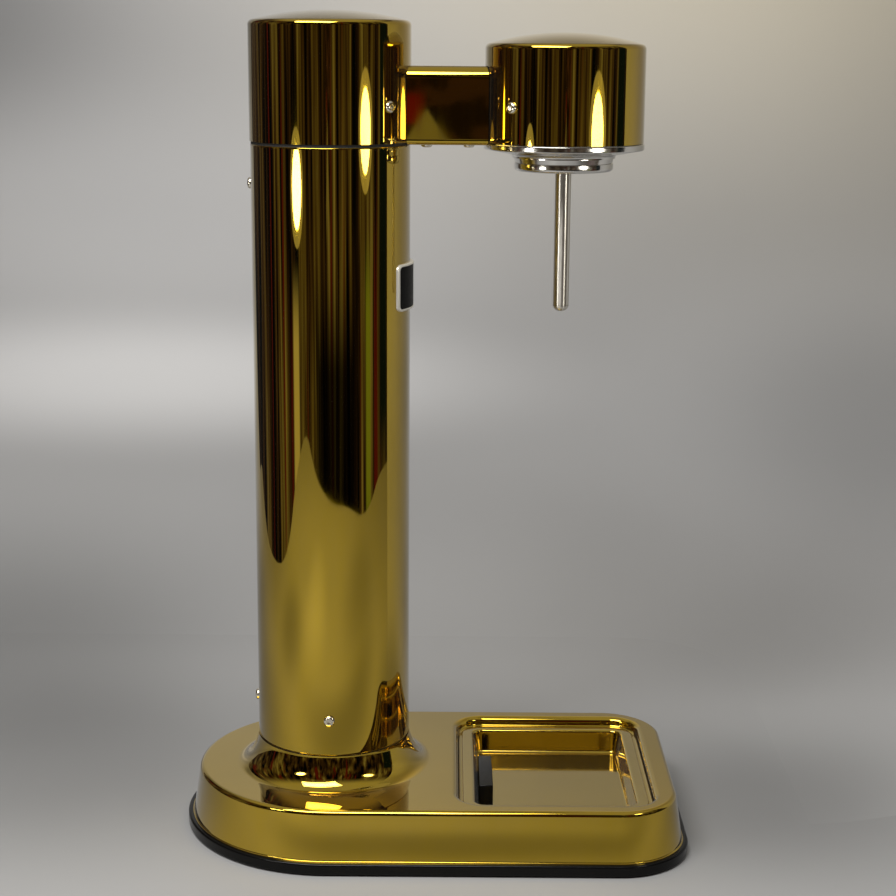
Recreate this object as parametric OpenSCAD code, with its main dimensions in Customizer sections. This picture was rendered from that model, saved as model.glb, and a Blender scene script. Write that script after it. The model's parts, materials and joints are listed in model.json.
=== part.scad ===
// Sparkling water maker: a column with a cap, an arm and a head over a drip tray.
// Millimetres. +Z is up, +X points from the column to the head, +Y is the lever's side.
// The origin is at the middle of the base's outline, on the table.

/* [Base] */
// Length of the base, back to front
base_length = 258; // [240:1:290]
// Width of the base, also the diameter of its round back end
base_width = 153; // [146:1:170]
// Radius of the two front corners of the base
front_radius = 37; // [28:1:48]
// Height of the black bottom plate
plate_height = 5.5; // [4.5:0.5:8]
// Radius of the bottom plate's top edge
plate_edge = 1.2; // [0.4:0.1:2]
// Height of the gold shell above the plate
shell_height = 25.1; // [22:0.5:32]
// Width of the plate's ledge round the foot of the shell
shell_ledge = 3; // [2:0.5:5]
// How far the shell leans in over its height
shell_draft = 3.9; // [1:0.1:5]
// Radius of the shell's top edge
shell_edge = 2.6; // [2:0.1:4]
// Wall of the pressed shells
shell_wall = 1.5; // [1.2:0.1:1.8]
// Height of the drawn neck above the base
neck_height = 15.9; // [14:0.5:22]
// Radius of the fillet at the foot of the neck
neck_fillet = 11; // [8:0.5:12]
// How much wider the neck is than the column, on radius
neck_step = 0.2; // [0:0.1:1]

/* [Feet] */
// How far the rubber feet stand out below the plate
foot_projection = 1; // [0.6:0.1:2]
// Radius of a rubber foot
foot_radius = 8; // [6:0.5:9]
// Depth of a foot's seat in the plate
foot_seat = 1.5; // [1:0.1:2.5]

/* [Drip tray] */
// Length of the tray recess along the base
recess_length = 104.2; // [96:0.2:106]
// Width of the tray recess across the base
recess_width = 125; // [115:0.5:126]
// Width of the sloped edge of the recess
recess_slope = 5.1; // [3:0.1:6]
// Depth of the recess ledge below the base's top
recess_depth = 5; // [3.5:0.1:7]
// Width of the tray's flat rim
tray_rim = 6.7; // [5.5:0.1:9]
// Thickness of the tray
tray_wall = 1.2; // [0.8:0.1:1.6]
// Depth of the tray's well below its rim
tray_depth = 12.3; // [8:0.1:14]
// How far the well's walls lean in over their depth
tray_draft = 1.9; // [0.5:0.1:3]
// Radius of the well's corners
tray_corner = 5; // [4:0.5:8]
// Clearance round the tray in its recess
tray_gap = 0.25; // [0.15:0.05:0.5]
// Thickness of the black block in the tray
block_thickness = 7.2; // [5:0.1:10]
// Length of the block across the tray
block_length = 41; // [30:1:60]
// Height of the block
block_height = 9.3; // [5:0.1:11]

/* [Column] */
// Outer radius of the column tube
column_radius = 39.1; // [38:0.1:41]
// Wall of the column tube
column_wall = 1.5; // [1:0.1:2]
// Length of the column tube
tube_length = 302.4; // [260:1:340]
// Dark joint between the neck and the tube
neck_joint = 0.4; // [0.2:0.1:1]
// Dark joint between the tube and the cap
cap_joint = 1; // [0.6:0.1:1.6]
// Outer radius of the cap
cap_radius = 39.5; // [39:0.1:43]
// Height of the cap's straight side with its edge
cap_side = 56.9; // [55:0.1:65]
// Rise of the cap's dome above its edge
cap_dome = 5.8; // [2:0.1:8]
// Radius of the round edges of cap and head
dome_edge = 2.6; // [1.5:0.1:4]
// Radius of the bay for the gas cylinder
bay_radius = 33; // [31.5:0.5:33.5]

/* [Arm and head] */
// Distance from the column's axis to the head's axis
head_reach = 114; // [108:1:122]
// Width of the arm
arm_width = 25.7; // [25:0.1:28]
// Height of the arm
arm_height = 37.5; // [36:0.5:42]
// Radius of the arm's upper edges
arm_top_edge = 5.5; // [2:0.5:7]
// Radius of the arm's lower edges
arm_low_edge = 2.6; // [1:0.2:3]
// Outer radius of the head
head_radius = 38.9; // [38:0.1:40]
// Height of the head's straight side with its edge
head_side = 46.3; // [45:0.1:52]
// Rise of the head's dome above its edge
head_dome = 6.1; // [3:0.1:9]
// Dark joint between the head's shell and its plate
head_joint = 0.3; // [0.2:0.1:0.6]
// Height of the rim of the steel plate
rim_height = 3.1; // [2.4:0.1:4]
// How far the steel plate stands out from the head
rim_step = 0.3; // [0:0.1:1]
// Radius of the bottle collar
collar_radius = 24.4; // [23:0.1:26]
// Inner radius of the bottle collar
collar_bore = 20.5; // [19:0.1:21]
// Height of the bottle collar
collar_height = 6.4; // [4:0.1:9]
// Radius of the nozzle tube
nozzle_radius = 3.45; // [2.5:0.05:4]
// Length of the nozzle below the collar
nozzle_drop = 69.1; // [50:1:90]

/* [Valve and lever] */
// Radius of the socket for the gas cylinder's thread
thread_radius = 10.5; // [9:0.5:11]
// Length of the threaded socket
thread_length = 14; // [12:1:16]
// Radius of the push pin
pin_radius = 1.9; // [1.5:0.1:2.4]
// Angle that the lever turns through
lever_angle = 20; // [10:1:22]
// Distance from the lever's axis to the middle of the cam's nose
cam_reach = 9; // [8.8:0.1:10]
// Radius of the lever's shaft
shaft_radius = 4; // [3:0.5:4]
// Reach of the lever from its axis to the end of the grip
lever_reach = 143; // [110:1:146]
// Drop of the lever at its end
lever_drop = 22; // [21:1:26]
// Radius of the lever's rod
rod_radius = 3.2; // [2.5:0.1:4]
// Radius of the lever's grip
grip_radius = 5.4; // [4:0.1:6]
// Length of the lever's grip
grip_length = 28; // [20:1:40]
// Running clearance of shafts and pins, on radius
running_gap = 0.05; // [0.03:0.01:0.1]

/* [Badge] */
// Height of the badge's middle above the tube's foot
badge_height = 234; // [100:1:240]
// Height of the badge
badge_tall = 23; // [14:1:30]
// Width of the badge, as half an angle round the column
badge_half_angle = 34.5; // [20:0.5:40]
// Thickness of the badge
badge_thickness = 1.8; // [1:0.1:2]
// Width of the badge's rim
badge_rim_width = 1.2; // [1:0.1:2.5]
// Radius of the badge's corners
badge_corner = 3; // [1:0.5:6]

/* [Screws] */
// Radius of an outside screw's head
button_radius = 2.85; // [2.4:0.05:3.4]
// Height of an outside screw's head
button_height = 1.65; // [1.2:0.05:2]
// Radius of an outside screw's shank
button_shank = 1.5; // [1.2:0.1:1.6]
// Height of the low column screws above the tube's foot
low_screw_height = 18.6; // [12:0.2:22]
// Depth of the high column screw below the tube's top
high_screw_depth = 19.3; // [12:0.2:20]
// Height of the cap's and head's side screws above the arm's bottom
side_screw_height = 18.5; // [14:0.5:20]
// Angle of the cap's side screws from the arm
cap_screw_angle = 41; // [36:1:60]
// Angle of the head's side screws from its front
head_screw_angle = 133; // [120:1:140]
// Distance between the two screws under the arm
arm_screw_pitch = 20.6; // [16:0.2:22]

/* [Hidden] */
$fn = 96;

gold = [0.72, 0.56, 0.2];
steel = [0.78, 0.78, 0.76];
black = [0.06, 0.06, 0.06];
alloy = [0.62, 0.64, 0.66];
brass = [0.7, 0.58, 0.3];
rubber = [0.12, 0.12, 0.12];
arc_steps = 8;
dome_steps = 10;

// Fits
seat_gap = 0.25;
screw_gap = 0.1;
touch_gap = 0.05;
idle_gap = 0.1;
past = 1;
lap = 1;
press_gap = 0.02;

// Reach of the cutters behind the holes
drill = 20;
short_drill = 10;

// Screws: how far each goes into what holds it, and its hex socket
button_length = 5;
button_socket = button_radius * 0.42;
small_socket = 1.2;

// Underside of the head plate
ceiling_step = 1.6;
skirt_depth = 3.9;
skirt_step = 0.8;
skirt_fillet = 1.4;
skirt_break = 0.3;
rim_edge = 0.7;
rim_break = 0.4;
rim_turn = 75;
skirt_turn = 80;

// Bottle collar
collar_groove = 0.35;
collar_break = 0.25;
collar_edge = 1.6;
collar_mouth = 0.6;

// Levels, from the table up
arm_drop = 0.8;
head_rise = 0.4;
plate_z = foot_projection;
shell_z = plate_z + plate_height;
base_z = shell_z + shell_height;
seam_z = base_z + neck_height;
tube_z = seam_z + neck_joint;
tube_top = tube_z + tube_length;
cap_z = tube_top + cap_joint;
cap_rim_z = cap_z + cap_side;
arm_z = cap_z - arm_drop;
arm_top = arm_z + arm_height;
arm_floor = arm_z + shell_wall;
head_z = cap_z + head_rise;
head_rim_z = head_z + head_side;
plate_top_z = head_z - head_joint;
rim_z = plate_top_z - rim_height;
ceiling_z = rim_z - ceiling_step;
skirt_z = rim_z - skirt_depth;
collar_top = skirt_z - touch_gap;
collar_z = collar_top - collar_height;
nozzle_z = collar_z - nozzle_drop;
tip_length = 2.6;
tip_edge = 1.9;
tip_spigot = 4;
tip_bore = 0.6;

// Plan of the base
column_x = (base_width - base_length) / 2;
back_radius = base_width / 2;
front_x = base_length / 2 - front_radius;
front_y = base_width / 2 - front_radius;
head_x = column_x + head_reach;
arm_x = (column_x + cap_radius + head_x - head_radius) / 2;

// Base shell
draft_angle = atan(shell_draft / shell_height);
edge_height = shell_height - shell_edge;
edge_in = shell_ledge + (shell_edge + edge_height * sin(draft_angle)) / cos(draft_angle);
edge_z = base_z - shell_edge;
neck_radius = column_radius + neck_step;
lip_gap = 0.8;
lip_out = shell_ledge + shell_wall / cos(draft_angle) + lip_gap;
lip_width = 2;
lip_height = 3;
boss_y = (back_radius - edge_in + recess_width / 2 - shell_wall / 2) / 2;
boss_back = 42.4;
boss_middle = 50;
boss_front = 2;
base_screw_places = [
    [column_x - boss_back, -boss_back], [column_x - boss_back, boss_back],
    [column_x + boss_middle, -boss_y], [column_x + boss_middle, boss_y],
    [front_x - boss_front, -boss_y], [front_x - boss_front, boss_y]
];
boss_radius = 2.4;
base_screw_shank = 1.2;
base_screw_head = 2.4;
base_screw_tall = 1.6;
base_screw_sink = 2;
base_screw_bite = 8;
foot_back = 52;
foot_back_half = 30;
foot_front = 16;
foot_front_half = 45;
foot_places = [
    [column_x - foot_back, -foot_back_half], [column_x - foot_back, foot_back_half],
    [front_x + foot_front, -foot_front_half], [front_x + foot_front, foot_front_half]
];

// Drip tray, whose corners share their centres with the recess and its ledge
tray_x = head_x;
seam_half_x = recess_length / 2 - recess_slope;
seam_half_y = recess_width / 2 - recess_slope;
well_half_x = seam_half_x - tray_rim;
well_half_y = seam_half_y - tray_rim;
ledge_z = base_z - recess_depth;
recess_break = 0.9;
recess_fall = 0.35;
recess_foot = 0.5;
tray_z = ledge_z + tray_wall;
well_z = tray_z - tray_depth;
tray_edge = 1.2;
hole_gap = 0.7;
hole_in = recess_slope + tray_rim - tray_wall - hole_gap;
recess_corner = tray_corner + tray_rim + recess_slope;
block_x = tray_x - well_half_x + tray_draft + seat_gap;

// Column foot
foot_ring_radius = column_radius - column_wall - seat_gap;
foot_flange_radius = 46;
foot_flange_height = 4;
foot_ring_grip = 28;
foot_ring_top = tube_z + foot_ring_grip;
foot_screw_circle = 41.5;
foot_screw_shank = 2;
foot_screw_head = 3.5;
foot_screw_sink = 2.2;
foot_screw_tall = 2;
foot_screw_bite = 3;
foot_screw_socket = 1.5;

// Top frame
frame_depth = 28.5;
deck_thickness = 7.3;
deck_z = tube_top - deck_thickness;
deck_rise = 0.7;
deck_top = cap_z + deck_rise;
seam_inset = 0.5;
seam_ring_radius = column_radius - seam_inset;
cap_inner = cap_radius - shell_wall;
head_inner = head_radius - shell_wall;
lug_thickness = 4.5;
lug_width = 8;
side_screw_z = arm_z + side_screw_height;
lug_above = 5;
lug_top = side_screw_z + lug_above;
opening_half = arm_width / 2 - shell_wall;
opening_top = arm_top - shell_wall;

// Least radius inside the arm's corners
inner_edge = 0.5;

// Badge's field, below its rim's face
badge_inset = 0.15;

// Arm beam, which rests on pads on the top frame and the head frame
beam_rise = 3.5;
beam_z = deck_top + beam_rise;
beam_height = 5.5;
beam_half = 10;
beam_in = 22;
beam_start = column_x + beam_in;
beam_end = head_x - beam_in;
beam_post = 4;
beam_screw_near = 4;
beam_screw_far = 10;
pad_length = 15;
pad_overhang = 2;
beam_screw_shank = 1.5;
beam_screw_head = 2.6;
beam_screw_tall = 1.8;
beam_screw_bite = 3.2;
beam_screw_places = [
    beam_start + beam_screw_near, beam_start + beam_screw_far,
    beam_end - beam_screw_far, beam_end - beam_screw_near
];
arm_screw_bite = 3;
beam_top = beam_z + beam_height;

// Valve
valve_radius = 13.5;
valve_low_radius = 14;
flange_radius = 18.5;
flange_half = 14.8;
flange_height = 3.5;
bracket_base = 2;
flange_z = deck_top + bracket_base;
valve_skirt = 5;
valve_z = deck_top - valve_skirt;
thread_top = valve_z + thread_length;
seal_height = 1.5;
seal_radius = 9.1;
seal_bore = 4;
chamber_height = 5.5;
chamber_top = thread_top + seal_height + chamber_height;
ring_height = 2;
ring_top = chamber_top + ring_height;
ring_radius = 3.9;
chamber_radius = 3.1;
valve_above = 2;
valve_top = ring_top + valve_above;
gland_radius = 8;
gland_shank = 5.9;
gland_shank_length = 4;
gland_height = 9.4;
gland_top = ring_top + gland_height;
pocket_floor = 3;
pocket_z = ring_top + pocket_floor;
pocket_radius = 5.2;
pin_collar = 4.6;
pin_rest = 0.3;
pin_collar_z = gland_top + pin_rest;
pin_collar_height = 2;
pin_stem = 5;
pin_top = pin_collar_z + pin_collar_height + pin_stem;
pin_foot = thread_top + pin_rest;
valve_screw_circle = 16;
valve_screw_shank = 1.25;
valve_screw_head = 2.1;
valve_screw_tall = 1.5;
valve_screw_bite = 5;
valve_screw_socket = 0.9;
pin_spring_radius = 3.6;
pin_spring_wire = 0.4;
pin_spring_turns = 5;

// Lever, cam and shaft
nose_radius = 3;
half_turn = lever_angle / 2;
shaft_x = column_x - cam_reach * cos(half_turn);
shaft_z = pin_top + idle_gap + nose_radius - cam_reach * sin(half_turn);
cam_hub = 6.1;
cam_half = 4.5;
cam_below = 2;
cam_finger = 4.4;
cam_screw_foot = 1;
cam_screw_socket = 0.9;
cam_screw_seat = 1.4;
ear_in = 15.2;
ear_thickness = 5;
ear_radius = 9;
bush_wall = 1.9;
bush_flange = 1;
bush_step = 2;
clip_inset = 0.4;
clip_width = 0.8;
clip_ring = 2;
shaft_end = 1.6;
shaft_near = -(ear_in + ear_thickness + bush_flange + shaft_end);
ear_foot = 6;
hub_gap = 0.9;
hub_y = cap_radius + hub_gap;
hub_width = 9;
hub_radius = 8.6;
hub_floor = 1.4;
hub_edge = 1.2;
hub_inner_edge = 0.6;
shaft_far = hub_y + hub_width - hub_floor;
rod_shift = 0.8;
rod_y = hub_y + hub_width / 2 + rod_shift;
rod_slope = atan(lever_drop / lever_reach);
rod_length = norm([lever_reach, lever_drop]);
rod_in = 3;
grip_edge = 1.2;
grip_end_edge = 2;
grip_mouth = 1.5;
lever_screw_head = 4.2;
lever_screw_tall = 1.8;
lever_screw_length = 6;
lever_screw_socket = 1.5;
shaft_thread = 7;
cap_bush_in = 3.4;
cap_bush_out = 0.4;
cap_bush_step = 0.6;
cap_bush_radius = shaft_radius + bush_wall + cap_bush_step;
cap_bush_hole_in = 2;
clip_groove = 0.6;

// Gas line and head
pipe_rise = 4.5;
pipe_z = thread_top + pipe_rise;
pipe_radius = 2;
pipe_wall = 0.6;
nut_radius = 4.6;
nut_length = 7.5;
pipe_seat = 4;
frame_disc_z = plate_top_z + idle_gap;
manifold_radius = 13;
manifold_z = beam_z;
manifold_height = 16.5;
manifold_top = manifold_z + manifold_height;
bore_radius = 2;
jet_radius = 1.5;
holder_radius = 6.9;
holder_shank = 5;
holder_length = 5.5;
holder_reach = 6.5;
holder_top = manifold_z + holder_reach;
nozzle_wall = 1.2;
nozzle_grip = 3.9;
holder_seat = 4;
seal_thickness = 2.6;
seal_land = 4;
relief_radius = 8;
relief_z = manifold_top;
relief_bore = 4.2;
relief_height = 14;
relief_floor = 2;
relief_port = 1.5;
relief_rim = 1;
poppet_height = 3;
poppet_stem = 3;
poppet_stem_radius = 1.6;
poppet_lift = 1.2;
relief_spring_radius = 3;
relief_spring_wire = 0.4;
relief_spring_turns = 5;
relief_cap_height = 3;
relief_plug = 1.5;
spring_top = relief_z + relief_height - relief_rim;
plate_screw_circle = 30;
plate_screw_shank = 1.5;
plate_screw_head = 2.6;
plate_screw_tall = 1.8;
plate_screw_bite = 1.6;
plate_screw_seat = 2;
plate_screw_angles = [0, 90, 270];

// Points along an arc, from angle a to angle b
function arc(x, y, r, a, b, n = arc_steps) =
    [for (i = [0:n]) [x + r * cos(a + (b - a) * i / n), y + r * sin(a + (b - a) * i / n)]];

// Corner arcs of a closed outline, each with its centre, radius and two end angles
base_outline = [
    [front_x, -front_y, front_radius, -90, 0],
    [front_x, front_y, front_radius, 0, 90],
    [column_x, 0, back_radius, 90, 270]
];
function box_outline(x, half_x, half_y, r) = [
    [x + half_x - r, -(half_y - r), r, -90, 0],
    [x + half_x - r, half_y - r, r, 0, 90],
    [x - half_x + r, half_y - r, r, 90, 180],
    [x - half_x + r, -(half_y - r), r, 180, 270]
];
recess_outline = box_outline(tray_x, recess_length / 2, recess_width / 2, recess_corner);
well_outline = box_outline(tray_x, well_half_x, well_half_y, tray_corner);
function on_arc(c, angle, inset) =
    [c[0] + (c[2] - inset) * cos(angle), c[1] + (c[2] - inset) * sin(angle)];

// Carries a section round an outline. In the section, x is outwards from the outline.
module around(outline) {
    count = len(outline);
    for (c = outline)
        translate([c[0], c[1], 0]) rotate(c[3])
            rotate_extrude(angle = c[4] - c[3]) translate([c[2], 0]) children();
    for (i = [0:count - 1]) {
        c = outline[i];
        d = outline[(i + 1) % count];
        from = on_arc(c, c[4], 0) - [c[2] * cos(c[4]), c[2] * sin(c[4])];
        run = norm(on_arc(d, d[3], 0) - on_arc(c, c[4], 0));
        translate([from[0], from[1], 0]) rotate(c[4])
            translate([0, run, 0]) rotate([90, 0, 0])
                linear_extrude(run) translate([c[2], 0]) children();
    }
}

// The area inside an outline
module inside(outline, inset = 0) {
    for (c = outline) translate([c[0], c[1]]) circle(c[2] - inset);
    polygon([for (c = outline) for (angle = [c[3], c[4]]) on_arc(c, angle, inset)]);
}

module ring(outer, inner, z, height) {
    translate([0, 0, z]) difference() {
        cylinder(h = height, r = outer);
        translate([0, 0, -past]) cylinder(h = height + 2 * past, r = inner);
    }
}

// A button-head screw along +Z, with its head's underside at the origin
module screw(shank, head, tall, length, socket) {
    difference() {
        union() {
            rotate_extrude($fn = 48) polygon(concat(
                [[0, 0], [head, 0]],
                arc(head - tall * 0.8, tall * 0.2, tall * 0.8, 0, 90),
                [[0, tall]]
            ));
            translate([0, 0, -length]) cylinder(h = length + tall / 2, r = shank, $fn = 24);
        }
        translate([0, 0, tall * 0.35]) cylinder(h = tall, r = socket, $fn = 6);
    }
}

module button_screw(length) {
    screw(button_shank, button_radius, button_height, length, button_socket);
}

// Places a child on a round wall of radius r, pointing outwards
module on_wall(x, r, angle, z) {
    translate([x, 0, 0]) rotate(angle) translate([r, 0, z]) rotate([0, 90, 0]) children();
}

module wall_hole(x, r, angle, z, hole) {
    on_wall(x, r - drill / 2, angle, z) cylinder(h = drill, r = hole, $fn = 24);
}

// A helical spring of round wire between two levels
module coil(r, wire, turns, z0, z1) {
    sides = 6;
    per_turn = 14;
    count = turns * per_turn;
    rise = z1 - z0 - 2 * wire;
    points = [for (i = [0:count]) for (k = [0:sides - 1])
        let (turn = 360 * i / per_turn, side = 360 * k / sides, out = r + wire * cos(side))
        [out * cos(turn), out * sin(turn), z0 + wire + rise * i / count + wire * sin(side)]];
    walls = [for (i = [0:count - 1]) for (k = [0:sides - 1])
        let (a = i * sides + k, b = i * sides + (k + 1) % sides)
        each [[a, a + sides, b], [b, a + sides, b + sides]]];
    first = [for (k = [1:sides - 2]) [0, k, k + 1]];
    last = [for (k = [1:sides - 2]) [count * sides, count * sides + k + 1, count * sides + k]];
    polyhedron(points, concat(walls, first, last));
}

// A domed drum, open below, standing at z
module domed_shell(r, z, side, dome) {
    flat = r - dome_edge;
    dome_radius = (flat * flat + dome * dome) / (2 * dome);
    dome_angle = asin(flat / dome_radius);
    centre = z + side + dome - dome_radius;
    rim = z + side - dome_edge;
    rotate_extrude() polygon(concat(
        [[r - shell_wall, z], [r, z]],
        arc(flat, rim, dome_edge, 0, 90 - dome_angle),
        arc(0, centre, dome_radius, 90 - dome_angle * 0.98, 90, dome_steps),
        arc(0, centre, dome_radius - shell_wall, 90, 90 - dome_angle * 0.98, dome_steps),
        arc(flat, rim, dome_edge - shell_wall, 90 - dome_angle, 0)
    ));
}

// Base

module shell_skirt() {
    a = draft_angle;
    around(base_outline) polygon(concat(
        [[-shell_ledge, shell_z]],
        arc(-edge_in, edge_z, shell_edge, a, 90),
        [[-edge_in - lap, base_z], [-edge_in - lap, base_z - shell_wall]],
        arc(-edge_in, edge_z, shell_edge - shell_wall, 90, a),
        [[-shell_ledge - shell_wall / cos(a), shell_z]]
    ));
}

module shell_neck() {
    outer = neck_radius + neck_fillet;
    rise = base_z + neck_fillet;
    translate([column_x, 0, 0]) rotate_extrude() polygon(concat(
        [[outer + lap, base_z - shell_wall], [outer + lap, base_z]],
        arc(outer, rise, neck_fillet, 270, 180),
        [[neck_radius, seam_z], [neck_radius - shell_wall, seam_z]],
        arc(outer, rise, neck_fillet + shell_wall, 180, 270)
    ));
}

module shell_recess() {
    lower = ledge_z - shell_wall;
    lean = shell_wall * 0.45;
    around(recess_outline) polygon([
        [lap, base_z], [0, base_z], [-recess_break, base_z - recess_fall],
        [-recess_slope + recess_foot, ledge_z + recess_foot], [-recess_slope, ledge_z],
        [-hole_in, ledge_z], [-hole_in, lower],
        [-recess_slope - lean, lower], [-lean, base_z - shell_wall], [lap, base_z - shell_wall]
    ]);
}

module base_shell() {
    color(gold) difference() {
        union() {
            shell_skirt();
            shell_neck();
            shell_recess();
            translate([0, 0, base_z - shell_wall]) linear_extrude(shell_wall) difference() {
                inside(base_outline, edge_in + lap / 2);
                translate([column_x, 0]) circle(neck_radius + neck_fillet + lap / 2);
                inside(recess_outline, -lap / 2);
            }
            for (p = base_screw_places) translate([p[0], p[1], shell_z])
                cylinder(h = shell_height - shell_wall + touch_gap, r = boss_radius, $fn = 32);
        }
        for (p = base_screw_places) translate([p[0], p[1], shell_z - past])
            cylinder(h = short_drill, r = base_screw_shank + screw_gap, $fn = 24);
    }
}

module base_plate() {
    top = shell_z;
    color(black) difference() {
        union() {
            translate([0, 0, plate_z]) linear_extrude(plate_height)
                inside(base_outline, plate_edge + lap / 2);
            around(base_outline) polygon(concat(
                [[-plate_edge - lap, plate_z], [0, plate_z]],
                arc(-plate_edge, top - plate_edge, plate_edge, 0, 90),
                [[-plate_edge - lap, top]]
            ));
            around(base_outline) translate([-lip_out - lip_width, top - past])
                square([lip_width, lip_height + past]);
        }
        translate([column_x, 0, -past]) cylinder(h = drill, r = bay_radius);
        for (p = foot_places) translate([p[0], p[1], plate_z - past])
            cylinder(h = foot_seat + past, r = foot_radius + touch_gap);
        for (p = base_screw_places) translate([p[0], p[1], 0]) {
            cylinder(h = drill, r = base_screw_shank + screw_gap, $fn = 24);
            cylinder(h = plate_z + base_screw_sink, r = base_screw_head + screw_gap, $fn = 32);
        }
        for (i = [0:3]) translate([column_x, 0, 0]) rotate(45 + 90 * i)
            translate([foot_screw_circle, 0, 0]) {
                cylinder(h = drill, r = foot_screw_shank + screw_gap, $fn = 24);
                cylinder(h = plate_z + foot_screw_sink, r = foot_screw_head + screw_gap, $fn = 32);
            }
    }
}

module foot(i) {
    color(rubber) translate([foot_places[i][0], foot_places[i][1], 0])
        cylinder(h = foot_projection + foot_seat - touch_gap, r = foot_radius);
}

module base_screws() {
    color(steel) for (p = base_screw_places)
        translate([p[0], p[1], plate_z + base_screw_sink]) rotate([180, 0, 0])
            screw(base_screw_shank, base_screw_head, base_screw_tall,
                plate_height - base_screw_sink + base_screw_bite, small_socket);
}

module foot_screws() {
    color(steel) for (i = [0:3]) translate([column_x, 0, plate_z + foot_screw_sink])
        rotate(45 + 90 * i) translate([foot_screw_circle, 0, 0]) rotate([180, 0, 0])
            screw(foot_screw_shank, foot_screw_head, foot_screw_tall,
                plate_height - foot_screw_sink + foot_screw_bite, foot_screw_socket);
}

// Column

module column_foot() {
    color(alloy) difference() {
        translate([column_x, 0, 0]) union() {
            ring(foot_flange_radius, bay_radius, shell_z, foot_flange_height);
            ring(foot_ring_radius, bay_radius, shell_z, foot_ring_top - shell_z);
        }
        for (i = [0:3]) translate([column_x, 0, 0]) rotate(45 + 90 * i)
            translate([foot_screw_circle, 0, shell_z - past])
                cylinder(h = short_drill, r = foot_screw_shank + screw_gap, $fn = 24);
        for (angle = [90, 180, 270])
            wall_hole(column_x, column_radius, angle, tube_z + low_screw_height,
                button_shank + screw_gap);
    }
}

module column_tube() {
    color(gold) difference() {
        translate([column_x, 0, 0])
            ring(column_radius, column_radius - column_wall, tube_z, tube_length);
        for (angle = [90, 180, 270])
            wall_hole(column_x, column_radius, angle, tube_z + low_screw_height,
                button_shank + screw_gap);
        wall_hole(column_x, column_radius, 180, tube_top - high_screw_depth,
            button_shank + screw_gap);
    }
}

module column_screws() {
    color(steel) {
        for (angle = [90, 180, 270])
            on_wall(column_x, column_radius, angle, tube_z + low_screw_height) button_screw(button_length);
        on_wall(column_x, column_radius, 180, tube_top - high_screw_depth) button_screw(button_length);
    }
}

// Two lugs that stand inside a round shell and take its side screws
module lugs(x, r, angle, z) {
    for (side = [-1, 1]) translate([x, 0, 0]) intersection() {
        rotate(side * angle) translate([r - lug_thickness, -lug_width / 2, z])
            cube([lug_thickness + past, lug_width, lug_top - z]);
        cylinder(h = lug_top + past, r = r);
    }
}

module top_frame() {
    color(alloy) difference() {
        union() {
            translate([column_x, 0, 0]) {
                ring(foot_ring_radius, bay_radius, tube_top - frame_depth, frame_depth);
                translate([0, 0, deck_z]) cylinder(h = deck_top - deck_z, r = foot_ring_radius);
                translate([0, 0, tube_top + touch_gap])
                    cylinder(h = cap_joint - 2 * touch_gap, r = seam_ring_radius);
            }
            lugs(column_x, cap_inner - seat_gap, cap_screw_angle, deck_top - past);
            translate([beam_start - pad_overhang, -beam_half, deck_top - past])
                cube([pad_length, 2 * beam_half, beam_z - deck_top + past]);
        }
        translate([column_x, 0, deck_z - past])
            cylinder(h = drill, r = valve_low_radius + seat_gap);
        wall_hole(column_x, column_radius, 180, tube_top - high_screw_depth,
            button_shank + screw_gap);
        for (side = [-1, 1]) wall_hole(column_x, cap_radius, side * cap_screw_angle,
            side_screw_z, button_shank + screw_gap);
        for (i = [0:3]) translate([column_x, 0, deck_z + past]) rotate(45 + 90 * i)
            translate([valve_screw_circle, 0, 0])
                cylinder(h = drill, r = valve_screw_shank + screw_gap, $fn = 24);
        for (i = [0, 1]) translate([beam_screw_places[i], 0, beam_z - beam_screw_bite - past])
            cylinder(h = beam_screw_bite + 2 * past, r = beam_screw_shank + screw_gap, $fn = 24);
    }
}

module column_cap() {
    color(gold) difference() {
        translate([column_x, 0, 0]) domed_shell(cap_radius, cap_z, cap_side, cap_dome);
        for (side = [-1, 1]) wall_hole(column_x, cap_radius, side * cap_screw_angle,
            side_screw_z, button_shank + screw_gap);
        translate([column_x, -opening_half, cap_z - past])
            cube([cap_radius + past, 2 * opening_half, opening_top - cap_z + past]);
        along_shaft(cap_radius - cap_bush_in - cap_bush_hole_in)
            cylinder(h = short_drill, r = cap_bush_radius + touch_gap, $fn = 48);
    }
}

module cap_screws() {
    color(steel) for (side = [-1, 1])
        on_wall(column_x, cap_radius, side * cap_screw_angle, side_screw_z) button_screw(button_length);
}

// Badge

// A piece of a round band, cut to the badge's outline less an inset
module badge_band(inner, outer, inset) {
    tall = badge_tall - 2 * inset;
    corner = max(badge_corner - inset, badge_corner / 4);
    half = column_radius * sin(badge_half_angle) - inset;
    reach = column_radius / 2;
    z = tube_z + badge_height;
    intersection() {
        translate([column_x, 0, 0]) ring(outer, inner, z - badge_tall, 2 * badge_tall);
        translate([column_x + reach, 0, z]) rotate([90, 0, 90]) linear_extrude(2 * reach) {
            square([2 * half, tall - 2 * corner], center = true);
            square([2 * half - 2 * corner, tall], center = true);
            for (x = [-1, 1]) for (y = [-1, 1])
                translate([x * (half - corner), y * (tall / 2 - corner)]) circle(corner, $fn = 32);
        }
    }
}

module badge_rim() {
    face = column_radius + touch_gap;
    color(steel) difference() {
        badge_band(face, face + badge_thickness, 0);
        badge_band(face + badge_thickness / 2, face + badge_thickness + past, badge_rim_width);
    }
}

module badge_field() {
    face = column_radius + touch_gap;
    color(black) badge_band(face + badge_thickness / 2 + touch_gap,
        face + badge_thickness - badge_inset, badge_rim_width + touch_gap);
}

// Arm

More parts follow.
